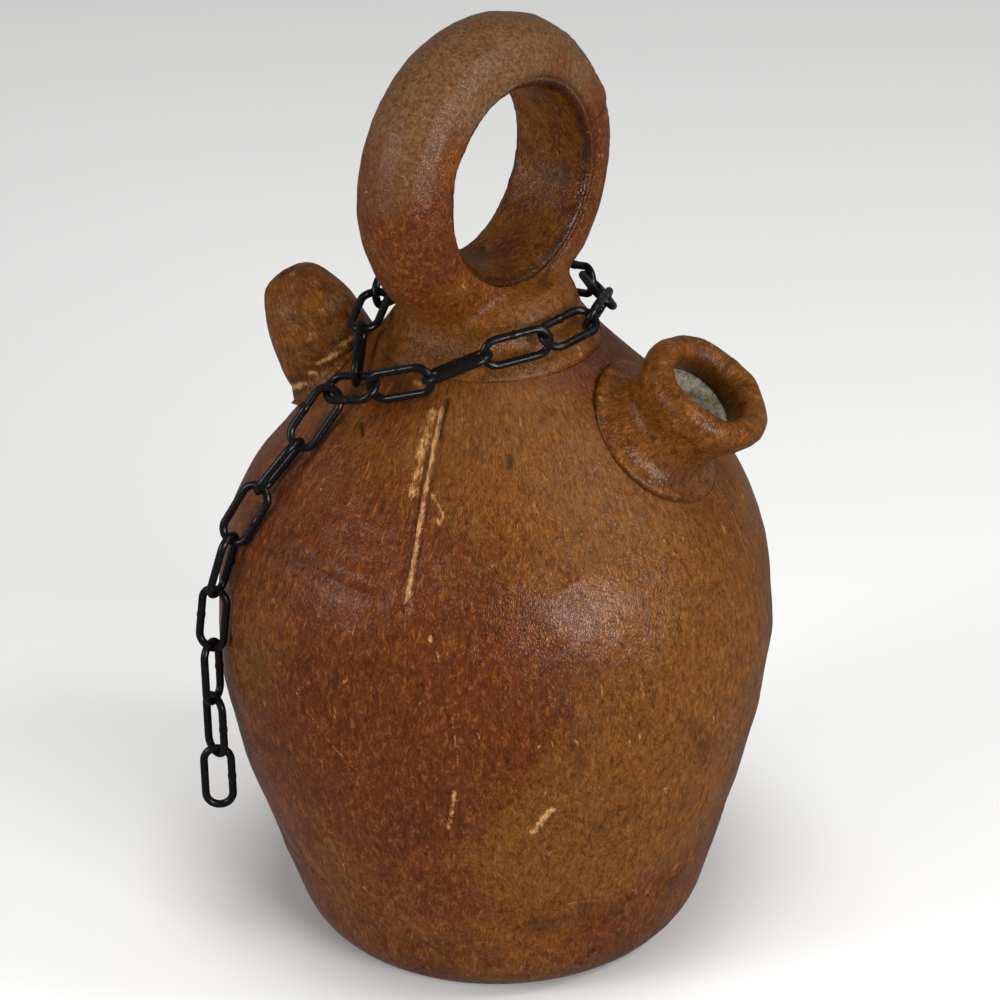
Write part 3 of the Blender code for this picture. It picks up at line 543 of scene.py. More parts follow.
def body_panel(node, left, right, spacing, faintest=0.25):
    """One skin over the body between two upright seams, from inside the cup's edge to inside the skirt."""
    bottom, top = length_at(cup_edge(0.0)), length_at(SKIRT_EDGE) + SKIRT_LAP
    rows = in_cells((top - bottom) / spacing)
    turn = math.radians(right(BELLY_HEIGHT) - left(BELLY_HEIGHT))
    columns = in_cells(turn * BELLY_RADIUS / spacing)
    v, u = np.meshgrid(np.linspace(0, 1, rows), np.linspace(0, 1, columns), indexing="ij")
    level = radius_and_height(bottom + v * (top - bottom))[1]
    start, end = left(level), right(level)
    angle = start + u * (end - start)
    edge = length_at(cup_edge(angle))
    s = edge - CUP_LAP + v * (top - edge + CUP_LAP)
    points, normals = face(angle, s)
    flat = points.reshape(-1, 3)
    rise, wear, dark = body_relief(flat)
    radius = np.hypot(flat[:, 0], flat[:, 1])
    from_seam = np.radians(np.minimum(angle - start, end - angle)).ravel() * radius
    seen = faintest + (1 - faintest) * smooth_step(flat[:, 2], 0.140, 0.175)
    rise -= SEAM_DEPTH * seen * hill(from_seam, SEAM_WIDTH)
    # Painted shade in the seam's groove
    dark = np.maximum(dark, 0.20 * seen * hill(from_seam, SEAM_WIDTH))
    above_cup = (s - edge).ravel()
    visible = cup_edge_strength(angle.ravel())
    rise -= CUP_STEP * (1 - smooth_step(above_cup, -0.0010, 0.0014))
    broken = 0.35 + 0.65 * smooth_step(ripple(flat, 0.020, 9), -0.6, 0.8)
    # Painted shade on the panel just above the cup's edge, broken up along it
    dark = np.maximum(dark, 0.30 * visible * broken * hill(above_cup, 0.0025))
    below_skirt = (top - SKIRT_LAP - s).ravel()
    rise -= SKIRT_STEP * (1 - smooth_step(below_skirt, 0.0, 0.0025))
    # Painted shade on the panel just under the hem of the ring's cover
    dark = np.maximum(dark, 0.10 * broken * hill(below_skirt, 0.0016))
    kept = clear_of_bores(flat.reshape(points.shape)[CELL // 2 :: CELL, CELL // 2 :: CELL])
    flat = flat + rise[:, None] * normals.reshape(-1, 3)
    layers = (body_ochre(flat), wear, dark, 0 * radius, grain_on_body(angle, s))
    sheet(node, flat.reshape(points.shape), normals, layers, kept)


def clear_of_bores(points):
    """Which blocks of a skin a spout's bore doesn't pass through. Its hole lies under the sleeve."""
    flat = points.reshape(-1, 3)
    clear = (from_axis(flat, FILLING) > FILLING_CLEAR) & (from_axis(flat, DRINKING) > DRINKING_CLEAR)
    return (clear | (flat[:, 2] < CLEAR_ABOVE)).reshape(points.shape[:2])


def base_cup():
    """The cup under the foot and round the heel, its edge a little proud of the panels."""
    foot_rows = 3 * CELL
    wall_rows = in_cells((length_at(CUP_HEIGHT) - FOOT_S) / CUP_SPACING)
    columns = in_cells(2 * math.pi * HEEL_RADIUS / CUP_SPACING) - 1
    share = np.concatenate([np.arange(foot_rows) / foot_rows - 1, np.linspace(0, 1, wall_rows)])
    v, u = np.meshgrid(share, np.arange(columns) / columns, indexing="ij")
    angle = -180 + 360 * u
    edge = length_at(cup_edge(angle))
    s = np.where(v < 0, FOOT_S * (v + 1.001), FOOT_S + v * (edge - FOOT_S))
    points, normals = face(angle, s)
    flat = points.reshape(-1, 3)
    rise, wear, dark = body_relief(flat)
    below = (edge - s).ravel()
    visible = cup_edge_strength(angle.ravel())
    rise -= CUP_GROOVE * hill(below, 0.0010)
    # Painted shade: a darker band on the cup just below its edge, broken up along it
    band = smooth_step(below, 0.0, 0.002) * (1 - smooth_step(below, 0.007, 0.014))
    dark = np.maximum(dark, 0.50 * band * visible * smooth_step(ripple(flat, 0.016, 10), -0.7, 0.9))
    rub = (1 - smooth_step(flat[:, 2], 0.002, 0.014)) * (0.5 + 0.5 * ripple(flat, 0.012, 8))
    rise *= smooth_step(flat[:, 2], 0.0005, 0.0100)
    flat = flat + rise[:, None] * normals.reshape(-1, 3)
    layers = (body_ochre(flat), wear, np.maximum(dark, 0.5 * rub), 0.6 * rub, grain_on_body(angle, s))
    flat = flat.reshape(points.shape)
    sheet("base_cup", flat, normals, layers, round_columns=True)


def sleeve_rings(spout, outline, flange, inner, reach):
    """Rings of points: a flange on the body, a soft rise into the tube, then round sections to the mouth."""
    side, _, tilt, mouth_tilt, length = spout
    foot, line = spout_line(spout)
    across = np.array([0.0, 1.0, 0.0])
    turns = 2 * math.pi * np.arange(SLEEVE_COLUMNS) / SLEEVE_COLUMNS
    outward = np.cos(turns)[:, None] * across + np.sin(turns)[:, None] * np.cross(line, across)

    def on_body(distance):
        """How far along the spout's line the body's face lies, at a distance from the line."""
        low, high = np.full(SLEEVE_COLUMNS, -0.03), np.full(SLEEVE_COLUMNS, 0.02)
        for _ in range(34):
            middle = (low + high) / 2
            at = foot + outward * distance + middle[:, None] * line
            outside = np.hypot(at[:, 0], at[:, 1]) > curve_through(ROWS[1:, 1], ROWS[1:, 0], at[:, 2])
            high = np.where(outside, middle, high)
            low = np.where(outside, low, middle)
        return (low + high) / 2

    rings = []

    def add_ring(radius, along):
        rings.append(foot + outward * radius + along[:, None] * line)

    for inset in EDGE_INSETS:
        distance = flange - inset
        lift = EDGE_RISE * math.sqrt((flange - distance) / EDGE_INSETS[-1]) - EDGE_SINK
        add_ring(distance, on_body(distance) + lift)
    for distance in np.arange(flange - FLANGE_START, inner + reach, -FLANGE_SPACING):
        add_ring(distance, on_body(distance) + FLANGE_LIFT)
    first_radius, first_along = outline[0]
    bend = inner + 0.35 * reach
    begin, corner = on_body(inner + reach) + FLANGE_LIFT, on_body(bend) + FLANGE_LIFT
    for t in np.linspace(0, 1, 22)[:-1]:
        w = ((1 - t) ** 3, 3 * t * (1 - t) ** 2, 3 * t * t * (1 - t), t**3)
        radius = w[0] * (inner + reach) + w[1] * bend + (w[2] + w[3]) * first_radius
        along = w[0] * begin + w[1] * corner + (w[2] * 0.45 + w[3]) * first_along
        add_ring(radius, along)
    outline = np.array(outline)
    lengths = np.concatenate([[0], np.cumsum(np.linalg.norm(np.diff(outline, axis=0), axis=1))])
    at = np.linspace(0, lengths[-1], int(lengths[-1] / TUBE_SPACING))
    radii, places = [curve_through(lengths, outline[:, k], at) for k in (0, 1)]
    for radius, along in zip(radii, places):
        share = min(max((along - first_along) / (length - first_along), 0.0), 1.0)
        turn = math.radians(tilt + (mouth_tilt - tilt) * share)
        normal = np.array([side * math.sin(turn), 0, math.cos(turn)])
        centre = foot + line * min(along, length) + normal * max(along - length, 0.0)
        upward = np.cross(normal, across)
        rings.append(centre + radius * (np.cos(turns)[:, None] * across + np.sin(turns)[:, None] * upward))
    return np.array(rings), foot, line


def spout_sleeve(node, spout, outline, flange, inner, reach, relief, marks, rim_rows, welt):
    """The leather over one spout, dented and marked. A mark: degrees round, along, reach, rise, wear,
    darkness. The welt is a pale ridge on the near side, at a distance up from the flange's edge."""
    columns = SLEEVE_COLUMNS
    grid, foot, line = sleeve_rings(spout, outline, flange, inner, reach)
    grid = grid[: (len(grid) - 1) // CELL * CELL + 1, ::-1]
    normals = grid_normals(grid)
    flat = grid.reshape(-1, 3)
    along = (flat - foot) @ line
    away = from_axis(flat, spout)
    on_flange = smooth_step(away, inner + 0.5 * reach, inner + reach)
    rise = relief * ripple(flat, 0.014, 11) + 0.35 * relief * ripple(flat, 0.0055, 12)
    row = np.arange(len(flat)) // columns
    rise = rise * (1 - on_flange) * (row < len(grid) - rim_rows) + body_waves(flat) * on_flange
    dark = 0.50 * smooth_step(ripple(flat, 0.007, 15), 0.2, 1.5)
    wear = 0.46 * smooth_step(ripple(flat, 0.007, 13), 0.0, 1.3)
    for around, height, width, lift, worn, stain_and_shade in marks:
        turn = math.radians(around)
        index = int(round((2 * math.pi - turn) / (2 * math.pi) * columns)) % columns
        line_of_points = grid[:, index]
        spot = line_of_points[np.argmin(np.abs((line_of_points - foot) @ line - height))]
        strength = hill(np.linalg.norm(flat - spot, axis=1), width)
        rise += lift * strength
        wear = np.maximum(wear, worn * strength)
        dark = np.maximum(dark, stain_and_shade * strength)
    # Painted shade on the last rows of the lip, where it turns into the mouth
    dark = np.maximum(dark, 0.60 * smooth_step(row, len(grid) - 2.0 * rim_rows, len(grid) - rim_rows))
    # Painted shade on the sleeve's first rows, where its edge meets the body
    dark = np.maximum(dark, 0.35 * (row < 2))
    wear = np.maximum(wear, 0.50 * (row == 3))
    turns = 2 * math.pi * (columns - 1 - np.arange(len(flat)) % columns) / columns
    climbed = np.cumsum(np.linalg.norm(np.diff(grid, axis=0, prepend=grid[:1]), axis=2), axis=0).ravel()
    seen = smooth_step(-np.cos(turns), -0.5, 0.1)
    from_welt = climbed - welt - 0.0005 * ripple(flat, 0.012, 16)
    rise += WELT_RISE * seen * hill(from_welt, 0.0012)
    wear = np.maximum(wear, 0.95 * seen * hill(from_welt, 0.0010))
    dark = np.maximum(dark, 0.85 * seen * hill(np.abs(from_welt) - 0.0020, 0.0006))
    grain = np.stack([turns * 0.018, row * 0.00022, 0 * along], axis=-1)
    layers = (0.80 + 0.25 * ripple(flat, 0.02, 14), wear, dark, 0 * along, grain)
    flat = flat + rise[:, None] * normals.reshape(-1, 3)
    sheet(node, flat.reshape(grid.shape), normals, layers, round_columns=True)


def filling_sleeve():
    """The wide spout: narrow waist, flare, thick rolled lip turned into the mouth."""
    waist, reach, relief, rim_rows = 0.0166, 0.0076, 0.0003, 12
    middle, roll, mouth = 0.0177, 0.0034, FILLING[-1]
    outline = [(waist, 0.0072), (0.0172, 0.0110), (0.0186, 0.0150), (0.0202, 0.0186)]
    for turn in range(0, 181, 30):
        angle = math.radians(turn)
        outline.append((middle + roll * math.cos(angle), mouth + roll * math.sin(angle)))
    outline += [(0.0142, 0.0205), (0.0142, 0.0180), (0.0145, 0.0168), (0.0153, 0.0160)]
    marks = (
        (200, 0.012, 0.006, 0.0006, 0.30, 0.0),
        (230, 0.018, 0.005, 0.0004, 0.65, 0.0),
        (170, 0.014, 0.005, -0.0005, 0.0, 0.3),
        (140, 0.020, 0.006, 0.0004, 0.2, 0.0),
        (250, 0.006, 0.004, -0.0004, 0.0, 0.6),
    )
    shape = (outline, FILLING_FLANGE, waist, reach)
    spout_sleeve("filling_spout_sleeve", FILLING, *shape, relief, marks, rim_rows, NO_WELT)


def drinking_sleeve():
    """The narrow spout: a swelling cone whose blunt end closes in on a fine hole."""
    root, reach, relief, rim_rows, welt = 0.0157, 0.0018, 0.00026, 3, 0.0072
    outline = [
        (root, 0.0060), (0.0150, 0.0125), (0.0141, 0.0180), (0.0131, 0.0220), (0.0114, 0.0262),
        (0.0096, 0.0296), (0.0080, 0.0317), (0.0059, 0.0331), (0.0038, 0.0337), (0.0026, 0.0336),
        (0.0021, 0.0322),
    ]
    marks = (
        (200, 0.030, 0.0040, 0.0010, 0.25, 0.0),
        (150, 0.033, 0.0030, 0.0008, 0.0, 0.0),
        (170, 0.024, 0.0045, -0.0006, 0.0, 0.2),
        (110, 0.027, 0.0045, 0.0006, 0.0, 0.0),
        (230, 0.028, 0.0035, 0.0007, 0.0, 0.3),
        (190, 0.010, 0.0060, -0.0003, 0.1, 0.0),
    )
    shape = (outline, DRINKING_FLANGE, root, reach)
    spout_sleeve("drinking_spout_sleeve", DRINKING, *shape, relief, marks, rim_rows, welt)


def ring_axes():
    turn = math.radians(RING_TURN)
    return np.array([math.cos(turn), math.sin(turn), 0.0]), np.array([-math.sin(turn), math.cos(turn), 0.0])


def ring_places(points):
    """Points as seen from the ring's bore: degrees about it, distance from it, and place along it."""
    axis, side = ring_axes()
    across = points - RING_CENTRE
    sideways, up = across @ side, across[:, 2]
    return np.degrees(np.arctan2(up, sideways)), np.hypot(sideways, up), across @ axis


def evaluated_copy(piece):
    graph = bpy.context.evaluated_depsgraph_get()
    mesh = bpy.data.meshes.new_from_object(piece.evaluated_get(graph))
    piece.modifiers.clear()
    piece.data = mesh
    return piece


def remeshed(node, voxel):
    """A new piece with the node's shape and an even fine mesh."""
    piece = placed(node + "_skin", frame["nodes"][node].data.copy())
    modifier = piece.modifiers.new("Remesh", "REMESH")
    modifier.mode = "VOXEL"
    modifier.voxel_size = voxel
    return evaluated_copy(piece)


def smoothed(piece, rounds, weights=None):
    modifier = piece.modifiers.new("Smooth", "SMOOTH")
    modifier.factor = 0.5
    modifier.iterations = rounds
    if weights is not None:
        group = piece.vertex_groups.new(name="soft")
        for level in range(1, 11):
            members = np.flatnonzero(np.round(weights * 10) == level)
            group.add(members.tolist(), level / 10, "REPLACE")
        modifier.vertex_group = "soft"
    evaluated_copy(piece)
    piece.vertex_groups.clear()
    return piece


def facet_factor(angle, segments, phase):
    """How much further out a round face lies than a facet between corners, at an angle."""
    step = 2 * math.pi / segments
    within = np.abs((angle / step - phase) % 1.0 - 0.5) * step
    return np.cos(within) / math.cos(step / 2)


def rounded_ring(points):
    """The ring handle's points moved out from its facets to the round, and the neck's likewise."""
    axis, _ = ring_axes()
    angle, _, place = ring_places(points)
    on_neck = np.clip((0.226 - points[:, 2]) / 0.004, 0, 1)[:, None]
    ring_factor = facet_factor(np.radians(angle), RING_SEGMENTS, 0.5)[:, None]
    neck_factor = facet_factor(np.arctan2(points[:, 1], points[:, 0]), BODY_SEGMENTS, 0.0)[:, None]
    from_bore = points - RING_CENTRE - place[:, None] * axis
    from_upright = points * np.array([1.0, 1.0, 0.0])
    return points + (1 - on_neck) * (ring_factor - 1) * from_bore + on_neck * (neck_factor - 1) * from_upright


def ring_cover():
    """Leather over the ring and down the neck, with a soft hollow where they meet."""
    piece = remeshed("handle_cover", RING_VOXEL)
    points = rounded_ring(points_of(piece.data))
    set_points(piece.data, points)
    _, distance, place = ring_places(points)
    ring_reach = np.hypot((distance - RING_MIDDLE) / RING_HALF_THICK, place / RING_HALF_WIDTH)
    ring_gap = np.abs(ring_reach - 1) * RING_HALF_THICK
    neck_radius = np.interp(points[:, 2], *zip(*NECK))
    neck_gap = np.abs(np.hypot(points[:, 0], points[:, 1]) - neck_radius)
    weights = hill(ring_gap, 0.006) * hill(neck_gap, 0.006) * (points[:, 2] < 0.250)
    smoothed(piece, 60, weights)
    smoothed(piece, 4)
    points = points_of(piece.data)
    angle, distance, place = ring_places(points)
    rise = 0.00016 * ripple(points, 0.034, 21) + 0.00008 * ripple(points, 0.011, 22)
    rise += 0.00004 * ripple(points, 0.005, 23)
    puckers = np.sin(np.arctan2(points[:, 1], points[:, 0]) * 26 + 2.0 * ripple(points, 0.02, 24))
    on_neck = hill(points[:, 2] - 0.2160, 0.0050)
    rise += 0.00022 * puckers * on_neck
    outer = distance > 0.036
    overlap = np.radians(angle - 18.0) * distance
    rise += 0.0005 * smooth_step(overlap, -0.0008, 0.0008) * smooth_step(-overlap, -0.010, -0.002) * outer
    groove = hill(distance - BORE_GROOVE, 0.0008) * smooth_step(place, 0.004, 0.010)
    groove *= smooth_step(np.cos(np.radians(angle)), -0.2, 0.3)
    rise -= 0.0006 * groove
    pleats = np.sin(np.radians(angle) * 60 + 3.0 * ripple(points, 0.008, 29)) * hill(angle - 30, 30)
    rise += 0.00015 * pleats * smooth_step(distance, 0.036, 0.040) * (place > 0)
    hem = smooth_step(points[:, 2] - SKIRT_EDGE, 0.0, 0.004)
    rise = rise * hem + body_waves(points) * (1 - hem)
    rise -= 0.0007 * (1 - smooth_step(points[:, 2], SKIRT_EDGE, SKIRT_EDGE + 0.0019))
    set_points(piece.data, points + rise[:, None] * normals_of(piece.data))
    dark = 0.8 * hill(overlap, 0.0007) * outer * (place > -0.004)
    dark = np.maximum(dark, 0.45 * on_neck * smooth_step(ripple(points, 0.006, 25), 0.4, 1.3))
    # Painted shade in the groove round the bore
    dark = np.maximum(dark, 0.75 * groove)
    # Painted reflection of the overhead light: the ring's top turns grey, mottled by the finish
    grey = smooth_step(points[:, 2] + 0.008 * ripple(points, 0.03, 26), 0.268, 0.304)
    wear = 0.34 * smooth_step(distance, 0.040, 0.051) * smooth_step(ripple(points, 0.010, 27), 0.2, 1.4)
    ochre = 0.22 + 0.22 * ripple(points, 0.022, 28) + 0.85 * (1 - smooth_step(points[:, 2], 0.224, 0.250))
    add_layers(piece.data, ochre, wear, dark, grey, points * np.array([1.0, 1.0, 0.7]))
    dress(piece, "handle_cover", "jug", LEATHER)


def ring_liner():
    """The lighter leather band round the inside of the ring."""
    piece = remeshed("handle_bore_liner", LINER_VOXEL)
    set_points(piece.data, rounded_ring(points_of(piece.data)))
    smoothed(piece, 4)
    points = points_of(piece.data)
    rise = 0.00018 * ripple(points, 0.016, 31) + 0.00010 * ripple(points, 0.006, 32)
    axis, _ = ring_axes()
    angle, distance, place = ring_places(points)
    outward = (points - RING_CENTRE - place[:, None] * axis) / distance[:, None]
    tucked = 0.0009 * smooth_step(np.abs(place), 0.0118, 0.0150)
    set_points(piece.data, points + rise[:, None] * normals_of(piece.data) + tucked[:, None] * outward)
    ochre = 0.62 + 0.30 * ripple(points, 0.014, 33)
    wear = 0.30 * smooth_step(ripple(points, 0.009, 34), 0.2, 1.3)
    # Painted shade along the liner's edges, where they tuck under the cover
    dark = 0.90 * smooth_step(np.abs(place), 0.0115, 0.0145)
    dark = np.maximum(dark, 0.35 * smooth_step(ripple(points, 0.010, 35), 0.5, 1.4))
    grain = np.stack([place, np.radians(angle) * 0.018, 0 * place], axis=-1)
    add_layers(piece.data, ochre, wear, dark, 0 * place, grain)
    dress(piece, "handle_bore_liner", "jug", LEATHER)


def clay_piece():
    """The pot itself, seen in the wide mouth: the node's own shape, made gritty."""
    piece = placed("clay_vessel_skin", frame["nodes"]["clay_vessel"].data.copy())
    modifier = piece.modifiers.new("Finer", "SUBSURF")
    modifier.subdivision_type = "SIMPLE"
    modifier.levels = 2
    evaluated_copy(piece)
    points = points_of(piece.data)
    set_points(piece.data, points + (0.00006 * ripple(points, 0.004, 41))[:, None] * normals_of(piece.data))
    dress(piece, "clay_vessel", "jug", CLAY)
    piece.data.set_sharp_from_angle(angle=math.radians(35))


def link_frame(node):
    """Middle, axes and sizes of a link, from its node's own points."""
    points = np.unique(points_of(frame["nodes"][node].data).round(7), axis=0)
    middle = points.mean(axis=0)
    _, _, axes = np.linalg.svd(points - middle, full_matrices=False)
    normal = np.cross(axes[0], axes[1])
    flat = (points - middle) @ np.column_stack([axes[0], axes[1], normal])
    return middle, np.array([axes[0], axes[1], normal]), flat.max(axis=0) - flat.min(axis=0)


def chain_link(node):
    """One link of round wire: straight sides, half-round bows and a weld that swells on one side."""
    middle, axes, (length, width, thick) = link_frame(node)
    # The node's wire stands corner to corner here, so this draws it thicker and neighbouring bows overlap
    wire = thick / math.cos(math.radians(30))
    bow = (width - wire) / 2
    reach = (length - wire) / 2 - bow
    path = []
    for side in (1, -1):
        for turn in np.linspace(-math.pi / 2, math.pi / 2, 17):
            outward = np.array([side * math.cos(turn), side * math.sin(turn), 0.0])
            path.append((np.array([side * reach, 0, 0]) + bow * outward, outward))
        for share in np.linspace(0, 1, 17)[1:-1]:
            at = np.array([side * reach * (1 - 2 * share), side * bow, 0])
            path.append((at, np.array([0.0, side, 0.0])))
    turns = 2 * math.pi * np.arange(14) / 14
    rings = []
    for at, outward in path:
        weld = (0.13 * hill(at[0], 0.0010) - 0.05 * hill(abs(at[0]) - 0.0015, 0.0005)) * (at[1] > 0)
        section = np.cos(turns)[:, None] * outward + np.sin(turns)[:, None] * np.array([0.0, 0.0, 1.0])
        rings.append(at + wire / 2 * (1 + weld) * section)
    mesh = grid_mesh(node + "_steel", middle + np.array(rings) @ axes)
    dress(placed(node + "_steel", mesh), node, node, STEEL)


class Nodes:
    """Short calls that add nodes to a material."""

    def __init__(self, name):
        self.material = bpy.data.materials.new(name)
        self.material.use_nodes = True
        self.tree = self.material.node_tree
        self.shader = self.tree.nodes["Principled BSDF"]
        self.place = self.add("ShaderNodeTexCoord").outputs["Object"]

    def add(self, kind, inputs=None, **settings):
        """A new node with its settings, and its inputs linked to a socket or set to a value."""
        node = self.tree.nodes.new(kind)
        for name, value in settings.items():
            setattr(node, name, value)
        for name, source in (inputs or {}).items():
            self.link(source, node.inputs[name])
        return node

    def link(self, source, socket):
        if isinstance(source, bpy.types.NodeSocket):
            self.tree.links.new(source, socket)
        else:
            socket.default_value = source

    def finish(self, name, source):
        self.link(source, self.shader.inputs[name])

    def noise(self, at, scale, detail=4.0, rough=0.55, twist=0.0):
        inputs = {"Vector": at, "Scale": scale, "Detail": detail, "Roughness": rough, "Distortion": twist}
        return self.add("ShaderNodeTexNoise", inputs).outputs["Fac"]

    def cells(self, at, scale, feature):
        inputs = {"Vector": at, "Scale": scale}
        return self.add("ShaderNodeTexVoronoi", inputs, feature=feature).outputs["Distance"]

    def warped(self, at, scale, amount):
        """Coordinates pushed about by noise."""
        node = self.add("ShaderNodeTexNoise", {"Vector": at, "Scale": scale, "Detail": 2.0})
        inputs = {0: node.outputs["Color"], "Scale": amount}
        shift = self.add("ShaderNodeVectorMath", inputs, operation="SCALE")
        inputs = {0: at, 1: shift.outputs["Vector"]}
        return self.add("ShaderNodeVectorMath", inputs, operation="ADD").outputs["Vector"]

    def range(self, value, low, high, to_low=0.0, to_high=1.0):
        inputs = {"Value": value, "From Min": low, "From Max": high, "To Min": to_low, "To Max": to_high}
        return self.add("ShaderNodeMapRange", inputs, interpolation_type="SMOOTHSTEP").outputs["Result"]

    def math(self, operation, first, second=0.0):
        return self.add("ShaderNodeMath", {0: first, 1: second}, operation=operation).outputs["Value"]

    def spread(self, value, amount):
        """How far a value lies above one half, times an amount."""
        return self.math("MULTIPLY", self.math("SUBTRACT", value, 0.5), amount)

    def mix(self, share, first, second):
        first, second = [(*tint, 1.0) if isinstance(tint, tuple) else tint for tint in (first, second)]
        inputs = {"Factor": share, "A": first, "B": second}
        return self.add("ShaderNodeMix", inputs, data_type="RGBA").outputs["Result"]

    def layer(self, name, output="Fac"):
        return self.add("ShaderNodeAttribute", attribute_name=name).outputs[output]

    def bump(self, height, strength, distance, normal=None):
        inputs = {"Height": height, "Strength": strength, "Distance": distance}
        if normal is not None:
            inputs["Normal"] = normal
        return self.add("ShaderNodeBump", inputs).outputs["Normal"]


def light_of(red, green, blue):
    """A colour given as 0 to 255 in sRGB, in linear light."""
    shares = [value / 255 for value in (red, green, blue)]
    return tuple(v / 12.92 if v < 11 / 255 else ((v + 0.055) / 1.055) ** 2.4 for v in shares)


def leather_finish():
    """Waxed hide: red-brown and ochre, upright grain with dark creases, worn and stained where marked, with
    painted shade in grooves and along edges where parts meet, and a painted reflection greying the ring's
    top.
    """
    n = Nodes("leather_finish")
    wear, dark, grey = n.layer("wear"), n.layer("dark"), n.layer("grey")
    grain = n.warped(n.layer("grain", "Vector"), 260.0, 0.0011)
    cells = n.cells(grain, 1250.0, "DISTANCE_TO_EDGE")
    fine = n.noise(grain, 1500.0, 3.0, 0.65)
    cloud = n.noise(n.place, 38.0, 6.0, 0.66, 0.5)
    mottle = n.noise(n.place, 130.0, 5.0, 0.7)
    speckle = n.noise(n.place, 420.0, 4.0, 0.7)
    share = n.math("ADD", n.layer("ochre"), n.spread(mottle, 1.3))
    share = n.math("ADD", share, n.spread(fine, 1.2))
    streaks = n.noise(grain, 640.0, 4.0, 0.72, 0.6)
    colour = n.mix(n.range(share, 0.05, 0.95), light_of(94, 43, 14), light_of(112, 66, 20))
    for value, low, high, most, tint in (
        (cloud, 0.50, 0.74, 0.50, (52, 22, 4)),
        (speckle, 0.52, 0.68, 0.45, (58, 26, 6)),
        (cells, 0.20, 0.02, 0.34, (40, 17, 6)),
        (streaks, 0.50, 0.64, 0.55, (46, 20, 7)),
        (streaks, 0.47, 0.34, 0.30, (160, 102, 44)),
        (fine, 0.58, 0.76, 0.36, (168, 110, 52)),
    ):
        colour = n.mix(n.range(value, low, high, 0.0, most), colour, light_of(*tint))
    # Grey layer: a painted reflection of the overhead light on the ring's top, and grey rubbing at the foot,
    # mottled between two tones
    weathered = n.noise(n.place, 850.0, 5.0, 0.75)
    ring_top = n.mix(n.range(weathered, 0.34, 0.66), light_of(116, 84, 54), light_of(72, 48, 30))
    colour = n.mix(n.math("MULTIPLY", grey, n.range(mottle, 0.30, 0.60, 0.65, 1.0)), colour, ring_top)
    flecks = n.range(n.noise(grain, 330.0, 2.0, 0.5, 1.0), 0.69, 0.73)
    flecks = n.math("MULTIPLY", flecks, n.range(mottle, 0.45, 0.6))
    colour = n.mix(n.math("MULTIPLY", flecks, 0.6), colour, light_of(176, 116, 66))
    worn = n.math("ADD", wear, n.spread(n.noise(grain, 700.0, 5.0, 0.8), 1.7))
    frayed = n.range(worn, 0.40, 0.82)
    fibres = n.mix(n.range(fine, 0.35, 0.65), light_of(142, 90, 42), light_of(192, 146, 92))
    colour = n.mix(frayed, colour, fibres)
    # Dark layer: real stains, and painted shade in seams, grooves and along edges where parts meet
    colour = n.mix(n.math("MULTIPLY", dark, 0.85), colour, light_of(34, 14, 5))
    n.finish("Base Color", colour)
    gloss = n.range(cloud, 0.36, 0.68, 0.20, 0.31)
    n.finish("Roughness", n.math("ADD", gloss, n.math("MULTIPLY", frayed, 0.25)))
    n.finish("Specular IOR Level", 0.22)
    creased = n.bump(n.range(cells, 0.0, 0.30), 0.75, 0.00009)
    pitted = n.bump(streaks, 0.40, 0.00030, creased)
    n.finish("Normal", n.bump(n.noise(n.place, 240.0, 3.0, 0.6), 0.35, 0.0009, pitted))
    return n.material


def clay_finish():
    """Grey-white fired clay with dark grit where it is open, stained brown where leather covers it."""
    n = Nodes("clay_finish")
    speckle = n.range(n.noise(n.place, 260.0, 5.0, 0.7), 0.36, 0.66)
    colour = n.mix(speckle, light_of(178, 168, 144), light_of(104, 92, 74))
    colour = n.mix(n.range(n.cells(n.place, 900.0, "F1"), 0.24, 0.10), colour, light_of(62, 54, 44))
    split = n.add("ShaderNodeSeparateXYZ", {"Vector": n.place})
    outside, high = n.range(split.outputs["X"], 0.045, 0.052), n.range(split.outputs["Z"], 0.165, 0.172)
    bare = n.math("MULTIPLY", outside, high)
    n.finish("Base Color", n.mix(bare, light_of(52, 32, 20), colour))
    n.finish("Roughness", 0.92)
    n.finish("Normal", n.bump(n.noise(n.place, 1000.0, 4.0, 0.75), 0.6, 0.0005))
    return n.material


def steel_finish():
    """Semi-gloss black paint on wire, rubbed a little grey."""
    n = Nodes("steel_finish")
    rub = n.range(n.noise(n.place, 420.0, 5.0, 0.65), 0.58, 0.74)
    n.finish("Base Color", n.mix(rub, (0.0030, 0.0030, 0.0035), (0.014, 0.013, 0.012)))
    n.finish("Roughness", n.range(n.noise(n.place, 900.0, 3.0, 0.6), 0.30, 0.70, 0.20, 0.34))
    n.finish("Specular IOR Level", 0.35)
    n.finish("Normal", n.bump(n.noise(n.place, 1300.0, 3.0, 0.6), 0.25, 0.0002))
    return n.material


def camera():
    """The photograph's viewing angle."""
    azimuth = math.radians(CAMERA_AZIMUTH)
    elevation = math.radians(CAMERA_ELEVATION)
    back = Vector((
        math.sin(azimuth) * math.cos(elevation),
        -math.cos(azimuth) * math.cos(elevation),
        math.sin(elevation),
    ))
    turn = back.to_track_quat("Z", "Y").to_matrix() @ Matrix.Rotation(math.radians(CAMERA_ROLL), 3, "Z")
    data = bpy.data.cameras.new("camera")
    data.lens = CAMERA_LENS
    made = bpy.data.objects.new("camera", data)
    bpy.context.scene.collection.objects.link(made)
    place = Vector((0, 0, AIM_HEIGHT)) + back * CAMERA_DISTANCE
    place += turn @ Vector((CAMERA_SIDE, CAMERA_LIFT, 0))
    made.matrix_world = Matrix.Translation(place) @ turn.to_4x4()
    bpy.context.scene.camera = made


